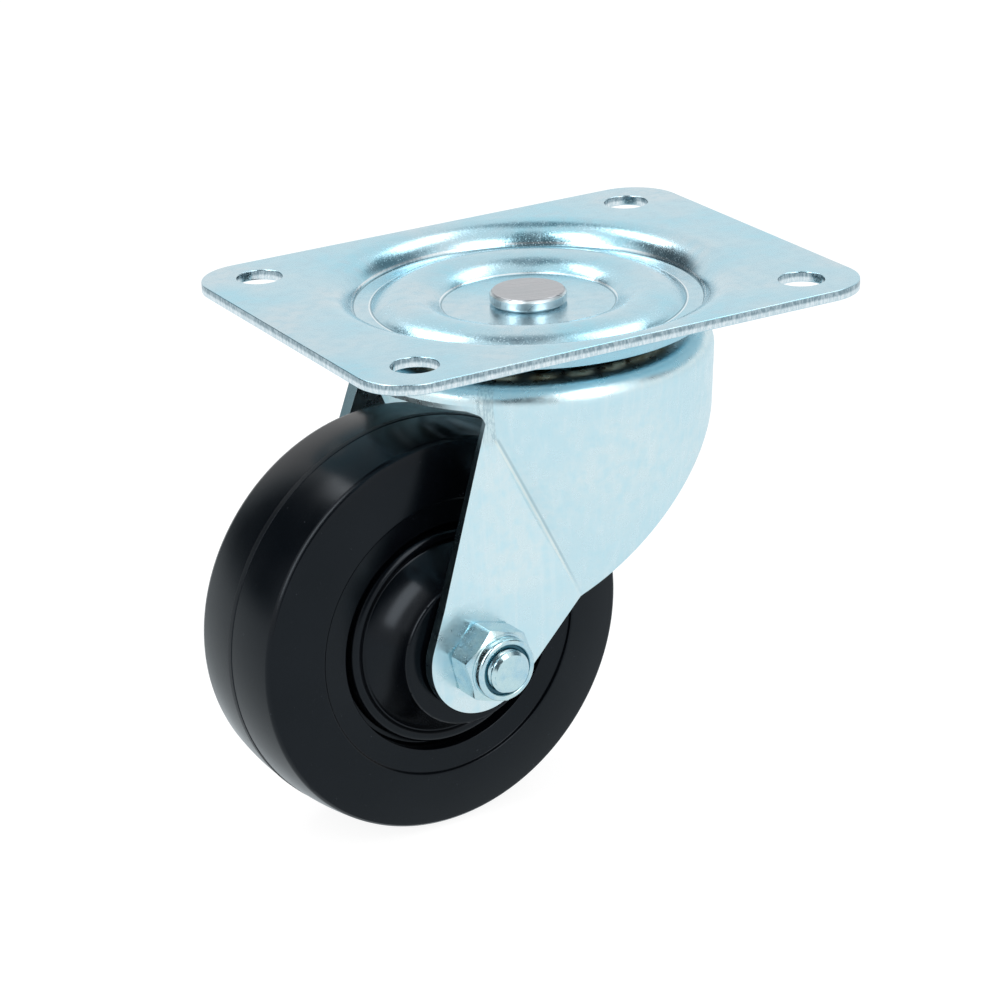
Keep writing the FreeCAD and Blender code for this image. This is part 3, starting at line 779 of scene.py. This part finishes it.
def make_wheel(material):
    half = section([
        (WHEEL_TOP, 0, 0, 0), (WHEEL_TOP, MOULD_LINE, 0.05, 0),
        (WHEEL_TOP - MOULD_HEIGHT, MOULD_LINE + MOULD_SLOPE, 0, TREAD_CURVE),
        (SHOULDER_RADIUS, TREAD_HALF - SHOULDER_ROUND, 0.2, SHOULDER_ROUND),
        (SHOULDER_RADIUS - SHOULDER_ROUND, TREAD_HALF, 0.2, SIDE_CURVE),
        (SIDE_INNER, SIDE_HALF, 0.35, 0), (BAND_OUTER, BAND_HALF, 0.25, 0),
        (SLOT_OUTER, BAND_HALF, 0.25, 0), (SLOT_OUTER, SLOT_HALF, 0.4, 0),
        (SLOT_INNER, SLOT_HALF, 0.4, 0), (SLOT_INNER, BEAD_FOOT_HALF, 0.1, BEAD_ROUND),
        ((SLOT_INNER + BEAD_INNER) / 2, BEAD_HALF, 0, BEAD_ROUND),
        (BEAD_INNER, BEAD_FOOT_HALF, 0.25, -HUB_HOLLOW),
        (BOSS_RADIUS, HUB_HALF - BOSS_EDGE, 0.1, BOSS_EDGE),
        (BOSS_RADIUS - BOSS_EDGE, HUB_HALF, 0.1, 0), (LINER_OUTER, HUB_HALF, 0, 0),
    ])
    mirrored = [(x, -y) for x, y in reversed(half[1:])]
    piece = lathe("wheel_moulding", half + mirrored, axle_place, False)
    return use(piece, "wheel", material, "wheel_rubber", "wheel")


def make_tube(name, node, body, material, slot, inner, outer, low_end, high_end):
    fillet = min(0.3, (outer - inner) / 4)
    middle = (inner + outer) / 2
    profile = section([
        (middle, low_end, 0, 0), (outer, low_end, fillet, 0), (outer, high_end, fillet, 0),
        (inner, high_end, fillet, 0), (inner, low_end, fillet, 0), (middle - 0.01, low_end, 0, 0),
    ])
    piece = lathe(name, profile, axle_place, False, count=96)
    return use(piece, body, material, slot, node)


# Hexagons: rings of points round the axle, each with its own radius and height at every angle

def hex_radius(angle, turn):
    sector = math.radians(60)
    return min(HEX_FLAT / math.cos((angle - turn) % sector - sector / 2), HEX_CORNER)


def hex_angles(turn):
    return [turn + 2 * math.pi * step / HEX_STEPS for step in range(HEX_STEPS)]


def hex_ring(turn, face, toward):
    """The edge where the corner chamfer of an end face meets the flats."""
    ring = []
    for angle in hex_angles(turn):
        radius = hex_radius(angle, turn)
        ring.append((radius, face - (radius - HEX_CHAMFER_CIRCLE) * HEX_SLOPE * toward))
    return ring


def round_ring(radius, height):
    return [(radius, height)] * HEX_STEPS


def rings_to_mesh(mesh_data, rings, turn, closed):
    rows = []
    for ring in rings:
        if max(radius for radius, _ in ring) < 1e-6:
            rows.append([mesh_data.verts.new(axle_place(0, ring[0][1], 0))] * HEX_STEPS)
            continue
        row = []
        for angle, (radius, height) in zip(hex_angles(turn), ring):
            place = axle_place(radius * math.cos(angle), height, radius * math.sin(angle))
            row.append(mesh_data.verts.new(place))
        rows.append(row)
    join_rings(mesh_data, rows, closed)


def make_axle_nut(material):
    seat = LEG_HALF
    hex_end = seat + NUT_HEX_HEIGHT
    pocket = COLLAR_RADIUS - COLLAR_WALL
    bevel = 0.3
    collar = section([
        (COLLAR_RADIUS + bevel, hex_end, 0, 0), (COLLAR_RADIUS, hex_end, 0.2, 0),
        (COLLAR_RADIUS, NUT_END, 0.62, 0), (pocket, NUT_END, 0.3, 0), (pocket, INSERT_START, 0.1, 0),
        (THREAD_BORE, INSERT_START, 0.1, 0), (THREAD_BORE, seat + bevel, 0, 0),
    ])
    rings = [round_ring(THREAD_BORE + bevel, seat), round_ring(HEX_CHAMFER_CIRCLE, seat)]
    rings += [hex_ring(NUT_TURN, seat, -1), hex_ring(NUT_TURN, hex_end, 1)]
    rings += [round_ring(HEX_CHAMFER_CIRCLE, hex_end)]
    rings += [round_ring(radius, height) for radius, height in collar]
    mesh_data = bmesh.new()
    rings_to_mesh(mesh_data, rings, NUT_TURN, True)
    piece = finish_mesh(mesh_data, "axle_nut_forged", SHEET_SHARP_ANGLE)
    return use(piece, "fork", material, "zinc_fastener", "axle_nut")


def thread_ring(height):
    """One ring of the bolt's thread: a helical groove that runs out at the chamfered end."""
    ring = []
    for angle in hex_angles(0):
        phase = (height / THREAD_PITCH - angle / (2 * math.pi)) % 1.0
        groove = THREAD_DEPTH * (1 - min(abs(phase - 0.5) * THREAD_STEEPNESS, 1.0))
        chamfered = BOLT_RADIUS - max(height - (BOLT_END - BOLT_CHAMFER), 0.0)
        ring.append((min(BOLT_RADIUS - groove, chamfered), height))
    return ring


def make_axle_bolt(material):
    face = -LEG_HALF - HEAD_HEIGHT
    edge = hex_ring(0, face, -1)
    start = LEG_HALF - THREAD_LENGTH_INSIDE
    rows = 96
    rings = [round_ring(0, face), round_ring(HEX_CHAMFER_CIRCLE, face), edge]
    rings += [[(radius, -LEG_HALF) for radius, _ in edge]]
    rings += [round_ring(BOLT_RADIUS, -LEG_HALF), round_ring(BOLT_RADIUS, start - 0.1)]
    rings += [thread_ring(start + (BOLT_END - start) * row / rows) for row in range(rows + 1)]
    rings += [round_ring(BOLT_RADIUS - BOLT_CHAMFER - 0.35, BOLT_END), round_ring(0, BOLT_END)]
    mesh_data = bmesh.new()
    rings_to_mesh(mesh_data, rings, 0, False)
    piece = finish_mesh(mesh_data, "axle_bolt_threaded", SHEET_SHARP_ANGLE)
    return use(piece, "fork", material, "zinc_fastener", "axle_bolt")


# Camera and soft boxes

CAMERA_PLACE = (-289.4, -503.8, 188.5)
CAMERA_TILT = (68.206, 1.999, -30.023)
CAMERA_LENS = 119.72

# Grey screens of the studio: bearing from, to, height from, to (degrees), level that metal sees
SCREENS = (
    (-40, 12, 18, 46, 0.22),
    (-150, -106, 6, 80, 0.12),
    (104, 150, 2, 50, 0.10),
    (42, 92, 58, 86, 0.30),
)
SCREEN_TINT = (0.62, 0.86, 1.0, 1.0)
FLOOR_TINT = (0.76, 0.84, 0.88, 1.0)
# Half width of a screen's soft border, in degrees
SOFT = 6.0
# Soft boxes: name, bearing and height (degrees), width and height of the box (metres), level
SOFT_BOXES = (
    ("box_right", -84, 36, 0.44, 0.85, 2.7),
    ("box_left", -170, 44, 0.28, 1.05, 4.6),
    ("box_back_left", 110, 55, 0.28, 0.32, 4.5),
    ("box_back_right", 6, 58, 0.40, 0.35, 2.5),
)
BOX_DISTANCE = 1.0
# Brightness of the world for diffuse rays
WORLD_LEVEL = 0.35
FLOOR_HALF = 3.0
FLOOR_GLOW = 0.90
WHITE = (1, 1, 1, 1)


def make_camera():
    data = bpy.data.cameras.new("camera")
    data.sensor_width = 36.0
    data.lens = CAMERA_LENS
    data.clip_start = 0.01
    data.clip_end = 10.0
    camera = bpy.data.objects.new("camera", data)
    camera.location = Vector(CAMERA_PLACE) * MM
    camera.rotation_euler = Euler([math.radians(angle) for angle in CAMERA_TILT], "XYZ")
    link(camera)
    bpy.context.scene.camera = camera


def soft_box(name, bearing, height, width, tall, level):
    """A soft box turned to the object; level is its brightness, 1 as the white backdrop's."""
    turn, rise = math.radians(bearing), math.radians(height)
    away = Vector((math.cos(turn) * math.cos(rise), math.sin(turn) * math.cos(rise),
                   math.sin(rise))) * BOX_DISTANCE
    data = bpy.data.lights.new(name, "AREA")
    data.shape = "RECTANGLE"
    data.size = width
    data.size_y = tall
    data.energy = level * math.pi * width * tall
    box = bpy.data.objects.new(name, data)
    box.location = away + Vector((0, 0, -AXLE_DROP * MM))
    box.rotation_euler = (-away).to_track_quat("-Z", "Y").to_euler()
    box.visible_camera = False
    link(box)


# Materials: all colours and marks come from procedural nodes in object space

class Nodes:
    """Short ways to add and join the nodes of one material or world.

    An input is given by its name, with _ for a space, or by its number, as in i0.
    """

    def __init__(self, owner):
        owner.use_nodes = True
        self.tree = owner.node_tree

    def add(self, kind, **inputs):
        node = self.tree.nodes.new("ShaderNode" + kind)
        for name, value in inputs.items():
            self.put(node, name, value)
        return node

    def put(self, node, name, value):
        numbered = name[0] == "i" and name[1:].isdigit()
        socket = node.inputs[int(name[1:]) if numbered else name.replace("_", " ")]
        if isinstance(value, bpy.types.NodeSocket):
            self.tree.links.new(value, socket)
        else:
            socket.default_value = value

    def place(self, scale, shift):
        """Object coordinates, scaled and shifted."""
        where = self.add("TexCoord")
        mapping = self.add("Mapping", Vector=where.outputs["Object"], Location=shift, Scale=scale)
        return mapping.outputs["Vector"]

    def noise(self, scale, stretch=(1, 1, 1), detail=3.0, shift=(0, 0, 0)):
        texture = self.add("TexNoise", Vector=self.place(stretch, shift), Scale=scale, Detail=detail)
        return texture.outputs["Fac"]

    def span(self, value, low, high, to_low, to_high):
        """Maps a range of a value to another range, held at both ends."""
        node = self.add("MapRange", Value=value, From_Min=low, From_Max=high,
                        To_Min=to_low, To_Max=to_high)
        return node.outputs["Result"]

    def below(self, value, low, high, share=1.0):
        """The share below low, falling to 0 at high; both ends are in millimetres."""
        return self.span(value, low * MM, high * MM, share, 0.0)

    def above(self, value, low, high):
        """0 below low, rising to 1 at high; both ends are in millimetres."""
        return self.span(value, low * MM, high * MM, 0.0, 1.0)

    def mix(self, share, first, second):
        node = self.tree.nodes.new("ShaderNodeMix")
        node.data_type = "RGBA"
        self.put(node, "i0", share)
        self.put(node, "i6", first)
        self.put(node, "i7", second)
        return node.outputs[2]

    def maths(self, operation, first, second=0.0):
        node = self.tree.nodes.new("ShaderNodeMath")
        node.operation = operation
        self.put(node, "i0", first)
        self.put(node, "i1", second)
        return node.outputs[0]

    def product(self, first, second):
        return self.maths("MULTIPLY", first, second)

    def size(self, value, middle=0.0):
        """How far a value lies from a middle."""
        return self.maths("ABSOLUTE", self.maths("SUBTRACT", value, middle))

    def reach(self, first, second):
        """Length of a way with these two parts."""
        squares = self.maths("ADD", self.maths("POWER", first, 2.0), self.maths("POWER", second, 2.0))
        return self.maths("SQRT", squares)

    def blend(self, value, low, high, first, second):
        """From the first colour to the second as the value goes from low to high."""
        return self.mix(self.span(value, low, high, 0.0, 1.0), colour(*first), colour(*second))

    def bump(self, height, strength, distance, before=None):
        node = self.add("Bump", Height=height, Strength=strength, Distance=distance * MM)
        if before is not None:
            self.put(node, "Normal", before)
        return node.outputs["Normal"]


def colour(red, green, blue):
    return (red, green, blue, 1.0)


def start_material(name):
    material = bpy.data.materials.new(name)
    nodes = Nodes(material)
    shader = nodes.tree.nodes["Principled BSDF"]
    return material, nodes, shader


def zinc_material(name, tints, marks, mark_depth, streak_share, roughness, marked):
    """Bright zinc: soft tint clouds, drawing or rolling marks along one way, and a fine spangle.

    The tints are two for the clouds, one for the fine grain and one for the streaks. marks is how
    fine the streaks are along X, Y and Z, and marked adds the marks that one piece has by itself.
    """
    material, nodes, shader = start_material(name)
    clouds = nodes.noise(48.0, detail=4.0)
    fine = nodes.noise(420.0, detail=5.0, shift=(0.3, 0.1, 0.7))
    streaks = nodes.noise(1.0, marks, detail=4.0)
    base = nodes.blend(clouds, 0.38, 0.62, tints[0], tints[1])
    base = nodes.mix(nodes.span(fine, 0.45, 0.70, 0.0, 0.8), base, colour(*tints[2]))
    base = nodes.mix(nodes.span(streaks, 0.50, 0.75, 0.0, streak_share), base, colour(*tints[3]))
    nodes.put(shader, "Metallic", 1.0)
    rough = nodes.span(fine, 0.3, 0.7, roughness[0], roughness[1])
    sparks = nodes.noise(3400.0, detail=2.0, shift=(0.9, 0.2, 0.4))
    rough = nodes.maths("ADD", rough, nodes.span(sparks, 0.61, 0.69, 0.0, 0.25))
    spangle = nodes.noise(1500.0, detail=3.0)
    normal = nodes.bump(spangle, 1.0, 0.020)
    normal = nodes.bump(streaks, streak_share, mark_depth, normal)
    nodes.put(shader, "Base Color", marked(nodes, base))
    nodes.put(shader, "Roughness", rough)
    nodes.put(shader, "Normal", normal)
    return material


def turned(nodes, vector, angle):
    """A vector's X, Y and Z after a turn back about Z, in degrees."""
    node = nodes.add("VectorRotate", Vector=vector, Angle=-math.radians(angle))
    node.rotation_type = "Z_AXIS"
    return nodes.add("SeparateXYZ", Vector=node.outputs["Vector"]).outputs


def object_place(nodes):
    return nodes.add("TexCoord").outputs["Object"]


def face_way(nodes, angle):
    """The face's own direction, turned about Z."""
    return turned(nodes, nodes.add("NewGeometry").outputs["True Normal"], angle)


def no_marks(nodes, base):
    return base


# Painted shade and painted highlight beside each press line of the dish, a dark line and a bright
# line: way outward, width, share, colour
PRESS_RADII = (DISC_RADIUS, RIDGE_OUTER, DISH_FOOT)
PRESS_SHADE_AND_HIGHLIGHT = (
    (0.0, 0.13, 0.75, (0.16, 0.27, 0.32)),
    (0.3, 0.14, 0.70, (0.92, 0.95, 0.96)),
)


def plate_marks(nodes, base):
    """Sheared edges, dark and torn above, brighter below, and painted shade and highlight lines round
    the dish.
    """
    where = nodes.add("SeparateXYZ", Vector=object_place(nodes)).outputs
    out = nodes.reach(where["X"], where["Y"])
    # Painted shade and highlight: a dark line on each press line and a bright line just outside it
    for radius in PRESS_RADII:
        for shift, width, share, tone in PRESS_SHADE_AND_HIGHLIGHT:
            off = nodes.size(out, (radius + shift) * MM)
            base = nodes.mix(nodes.below(off, width / 2, width, share), base, colour(*tone))
    lines = nodes.noise(1.0, (2400, 2400, 800))
    torn = nodes.blend(lines, 0.42, 0.60, (0.24, 0.32, 0.36), (0.44, 0.53, 0.57))
    cut = nodes.blend(lines, 0.40, 0.62, (0.62, 0.72, 0.76), (0.84, 0.88, 0.90))
    upper = nodes.above(where["Z"], -1.2, -0.8)
    edge = nodes.span(nodes.size(face_way(nodes, 0.0)["Z"]), 0.25, 0.4, 1.0, 0.0)
    return nodes.mix(edge, base, nodes.mix(upper, cut, torn))


# Angles of the strip that is drawn smooth above the crease, with a soft border
STRIP_MIDDLE = START + 0.018
STRIP_HALF = 0.045
STRIP_SOFT = 0.004


def fork_marks(nodes, base):
    """A painted highlight line on the crease with painted shade beside it, the drawn strip above it,
    and painted dark reflection on the legs' cut edges.
    """
    part = turned(nodes, object_place(nodes), SWIVEL_ANGLE)
    x, y, z = part["X"], nodes.size(part["Y"]), part["Z"]

    # The crease in the side view: along it from its root, and across it
    run_x, run_z = CREASE_FOOT_X - ROOT_X, CREASE_FOOT_Z - ROOT_Z
    length = math.hypot(run_x, run_z)
    along_x, along_z = run_x / length, run_z / length
    from_x = nodes.maths("SUBTRACT", x, ROOT_X * MM)
    from_z = nodes.maths("SUBTRACT", z, ROOT_Z * MM)
    across = nodes.maths("SUBTRACT", nodes.product(from_z, along_x), nodes.product(from_x, along_z))
    along = nodes.maths("ADD", nodes.product(from_x, along_x), nodes.product(from_z, along_z))
    fade = nodes.span(along, (length - 10.0) * MM, (length - 2.0) * MM, 1.0, 0.2)
    held = nodes.product(nodes.above(along, 3.2, 3.9), fade)
    # Painted shade as a dark line beside the crease on the skirt side, and a painted highlight as a
    # light line on the crease
    dark = nodes.product(nodes.below(nodes.size(across, -0.36 * MM), 0.08, 0.30, 0.5), held)
    light = nodes.product(nodes.below(nodes.size(across), 0.08, 0.26, 0.8), held)
    base = nodes.mix(dark, base, colour(0.34, 0.46, 0.50))
    base = nodes.mix(light, base, colour(0.86, 0.90, 0.86))

    off = nodes.size(nodes.maths("ARCTAN2", y, x), STRIP_MIDDLE)
    inside = nodes.span(off, STRIP_HALF - STRIP_SOFT, STRIP_HALF + STRIP_SOFT, 1.0, 0.0)
    strip = nodes.product(inside, nodes.above(z, ROOT_Z - 4.5, ROOT_Z - 3.0))
    lines = nodes.noise(1.0, (3000, 3000, 200))
    drawn = nodes.blend(lines, 0.40, 0.60, (0.40, 0.52, 0.56), (0.74, 0.84, 0.84))
    base = nodes.mix(nodes.product(strip, 0.6), base, drawn)

    # Painted reflection: the legs' cut edge faces are coloured near black for the dark reflection they
    # show
    sideways = nodes.size(face_way(nodes, SWIVEL_ANGLE)["Y"])
    cut = nodes.span(sideways, 0.35, 0.5, 1.0, 0.0)
    cut = nodes.product(cut, nodes.below(z, CROWN_TOP - 7.5, CROWN_TOP - 6.5))
    cut = nodes.product(cut, nodes.above(x, 4, 6))
    return nodes.mix(cut, base, colour(0.16, 0.24, 0.27))


# Middle of the grinding marks, in metres
GRIND_CENTRE = (0.006, 0.019, 0.0)


def ground_material():
    """Ground rivet head: curved grinding marks round a point beside the head."""
    material, nodes, shader = start_material("ground_steel")
    where = object_place(nodes)
    away = nodes.add("VectorMath", i0=where, i1=GRIND_CENTRE)
    away.operation = "DISTANCE"
    rings = nodes.add("TexNoise", Scale=1.0, Detail=4.0)
    rings.noise_dimensions = "1D"
    nodes.put(rings, "W", nodes.product(away.outputs["Value"], 5200.0))
    marks = rings.outputs["Fac"]
    patches = nodes.noise(160.0)
    base = nodes.blend(marks, 0.35, 0.68, (0.26, 0.27, 0.29), (0.66, 0.67, 0.69))
    base = nodes.mix(nodes.span(patches, 0.45, 0.7, 0.0, 0.5), base, colour(0.40, 0.43, 0.45))
    head = nodes.above(nodes.add("SeparateXYZ", Vector=where).outputs["Z"], -2.45, -2.3)
    nodes.put(shader, "Base Color", nodes.mix(head, colour(0.66, 0.74, 0.77), base))
    nodes.put(shader, "Metallic", 1.0)
    nodes.put(shader, "Roughness", nodes.span(marks, 0.3, 0.7, 0.26, 0.42))
    nodes.put(shader, "Normal", nodes.bump(marks, 0.7, 0.015))
    return material


def ball_material():
    """Polished balls under a thin, uneven film of yellowish grease."""
    material, nodes, shader = start_material("greased_balls")
    film = nodes.noise(380.0)
    base = nodes.blend(film, 0.4, 0.65, (0.34, 0.31, 0.24), (0.14, 0.11, 0.06))
    nodes.put(shader, "Base Color", base)
    nodes.put(shader, "Metallic", 1.0)
    nodes.put(shader, "Roughness", nodes.span(film, 0.4, 0.65, 0.10, 0.32))
    return material


def rubber_material():
    """Glossy moulded rubber with a faint bloom, dust specks and a duller mould line on the tread."""
    material, nodes, shader = start_material("wheel_rubber")
    bloom = nodes.noise(60.0, detail=4.0)
    specks = nodes.noise(1500.0, detail=2.0, shift=(0.2, 0.5, 0.1))
    base = nodes.blend(bloom, 0.35, 0.7, (0.0012, 0.0018, 0.003), (0.0030, 0.0038, 0.0055))
    base = nodes.mix(nodes.span(specks, 0.74, 0.80, 0.0, 0.6), base, colour(0.06, 0.07, 0.08))
    nodes.put(shader, "Base Color", base)
    nodes.put(shader, "Specular IOR Level", 0.22)
    nodes.put(shader, "Specular Tint", colour(0.80, 0.90, 1.0))
    part = turned(nodes, object_place(nodes), SWIVEL_ANGLE)
    line = nodes.below(nodes.size(part["Y"]), MOULD_LINE, MOULD_LINE + 0.15)
    out = nodes.reach(nodes.maths("SUBTRACT", part["X"], TRAIL * MM),
                      nodes.maths("ADD", part["Z"], AXLE_DROP * MM))
    line = nodes.product(line, nodes.maths("GREATER_THAN", out, TREAD_FROM * MM))
    shine = nodes.span(bloom, 0.35, 0.7, 0.17, 0.27)
    nodes.put(shader, "Roughness", nodes.maths("ADD", shine, nodes.product(line, 0.22)))
    grain = nodes.noise(700.0)
    nodes.put(shader, "Normal", nodes.bump(grain, 0.15, 0.02))
    return material


def plastic_material(name, first, second, roughness):
    material, nodes, shader = start_material(name)
    cloud = nodes.noise(300.0)
    nodes.put(shader, "Base Color", nodes.mix(cloud, colour(*first), colour(*second)))
    nodes.put(shader, "Roughness", nodes.span(cloud, 0.3, 0.7, roughness - 0.05, roughness + 0.05))
    return material


def soft_edge(degrees):
    return math.radians(degrees - SOFT), math.radians(degrees + SOFT)


def make_world():
    """White to the camera, plain light for diffuse rays, and soft grey screens for mirrored ones."""
    world = bpy.data.worlds.new("studio")
    nodes = Nodes(world)
    bpy.context.scene.world = world
    nodes.tree.nodes.clear()
    out = nodes.add("OutputWorld")
    path = nodes.add("LightPath")
    part = nodes.add("SeparateXYZ", Vector=nodes.add("TexCoord").outputs["Generated"]).outputs
    bearing = nodes.maths("ARCTAN2", part["Y"], part["X"])
    height = nodes.maths("ARCSINE", part["Z"])
    level = None
    for start, end, low, high, grey in SCREENS:
        share = None
        for value, from_edge, to_edge in ((bearing, start, end), (height, low, high)):
            rise = nodes.span(value, *soft_edge(from_edge), 0.0, 1.0)
            fall = nodes.span(value, *soft_edge(to_edge), 1.0, 0.0)
            both = nodes.product(rise, fall)
            share = both if share is None else nodes.product(share, both)
        screen = nodes.span(share, 0.0, 1.0, 1.0, grey)
        level = screen if level is None else nodes.product(level, screen)
    soft = nodes.add("Background", Color=WHITE, Strength=WORLD_LEVEL)
    mirrored = nodes.add("Background", Color=nodes.mix(level, SCREEN_TINT, WHITE), Strength=level)
    white = nodes.add("Background", Color=WHITE, Strength=1.0)
    seen = nodes.maths("MAXIMUM", path.outputs["Is Glossy Ray"], path.outputs["Is Transmission Ray"])
    indirect = nodes.add("MixShader", i0=seen, i1=soft.outputs[0], i2=mirrored.outputs[0])
    final = nodes.add("MixShader", i0=path.outputs["Is Camera Ray"], i1=indirect.outputs[0],
                      i2=white.outputs[0])
    nodes.put(out, "Surface", final.outputs[0])


def make_floor():
    """A sheet of white paper under the wheel, plain from above and clear from below."""
    mesh = bpy.data.meshes.new("floor")
    corners = [(x * FLOOR_HALF, y * FLOOR_HALF, -FLOOR_DROP * MM)
               for x, y in ((-1, -1), (1, -1), (1, 1), (-1, 1))]
    mesh.from_pydata(corners, [], [(0, 1, 2, 3)])
    floor = bpy.data.objects.new("floor", mesh)
    link(floor)
    material = bpy.data.materials.new("floor_paper")
    nodes = Nodes(material)
    nodes.tree.nodes.clear()
    out = nodes.add("OutputMaterial")
    path = nodes.add("LightPath")
    paper = nodes.add("BsdfDiffuse", Color=(0.8, 0.8, 0.8, 1))
    shade = nodes.add("BsdfDiffuse", Color=(0.24, 0.24, 0.24, 1))
    tone = nodes.mix(path.outputs["Is Glossy Ray"], WHITE, FLOOR_TINT)
    glow = nodes.add("Emission", Color=tone, Strength=FLOOR_GLOW)
    bright = nodes.add("AddShader", i0=shade.outputs[0], i1=glow.outputs[0])
    seen = nodes.maths("MAXIMUM", path.outputs["Is Camera Ray"], path.outputs["Is Glossy Ray"])
    seen = nodes.maths("MAXIMUM", seen, path.outputs["Is Transmission Ray"])
    final = nodes.add("MixShader", i0=seen, i1=paper.outputs[0], i2=bright.outputs[0])
    below = nodes.add("NewGeometry").outputs["Backfacing"]
    clear = nodes.add("BsdfTransparent")
    final = nodes.add("MixShader", i0=below, i1=final.outputs[0], i2=clear.outputs[0])
    nodes.put(out, "Surface", final.outputs[0])
    mesh.materials.append(material)


# The scene

plate_zinc = zinc_material(
    "zinc_plate", [(0.37, 0.65, 0.76), (0.52, 0.66, 0.72), (0.42, 0.62, 0.71), (0.60, 0.72, 0.77)],
    (60, 900, 60), 0.006, 0.15, (0.17, 0.26), plate_marks)
fork_zinc = zinc_material(
    "zinc_fork", [(0.63, 0.80, 0.85), (0.72, 0.83, 0.85), (0.60, 0.80, 0.86), (0.78, 0.87, 0.89)],
    (900, 900, 30), 0.010, 0.4, (0.25, 0.34), fork_marks)
bolt_zinc = zinc_material(
    "zinc_fastener", [(0.48, 0.66, 0.74), (0.58, 0.74, 0.74), (0.38, 0.60, 0.72), (0.66, 0.78, 0.80)],
    (600, 600, 600), 0.004, 0.4, (0.12, 0.22), no_marks)
ground = ground_material()
balls = ball_material()
rubber = rubber_material()
liner = plastic_material("liner_plastic", (0.03, 0.03, 0.033), (0.045, 0.045, 0.05), 0.4)
nylon = plastic_material("insert_nylon", (0.005, 0.09, 0.14), (0.01, 0.13, 0.19), 0.35)

make_top_plate(plate_zinc)
make_kingpin(ground)
make_lower_race(plate_zinc)
make_balls("upper_ball_ring", "upper_balls", "upper_ball_ring", balls, UPPER_BALL, RACE_RADIUS,
           UPPER_BALL_LEVEL, UPPER_COUNT)
make_balls("lower_ball_ring", "lower_balls", "lower_ball_ring", balls, LOWER_BALL, LOWER_RADIUS,
           LOWER_BALL_LEVEL, LOWER_COUNT)
make_fork(fork_zinc)
make_wheel(rubber)
make_tube("hub_bush", "hub_liner", "wheel", liner, "liner_plastic", LINER_INNER, LINER_OUTER,
          -HUB_HALF, HUB_HALF)
make_tube("axle_tube", "axle_sleeve", "fork", bolt_zinc, "zinc_fastener", SLEEVE_INNER,
          SLEEVE_OUTER, -SLEEVE_HALF, SLEEVE_HALF)
make_axle_bolt(bolt_zinc)
make_axle_nut(bolt_zinc)
make_tube("locking_ring", "nylon_insert", "fork", nylon, "insert_nylon", THREAD_BORE,
          COLLAR_RADIUS - COLLAR_WALL, INSERT_START, INSERT_END)

make_camera()
make_world()
make_floor()
for name, bearing, height, width, tall, level in SOFT_BOXES:
    soft_box(name, bearing, height, width, tall, level)
bpy.context.scene.view_settings.view_transform = "Standard"
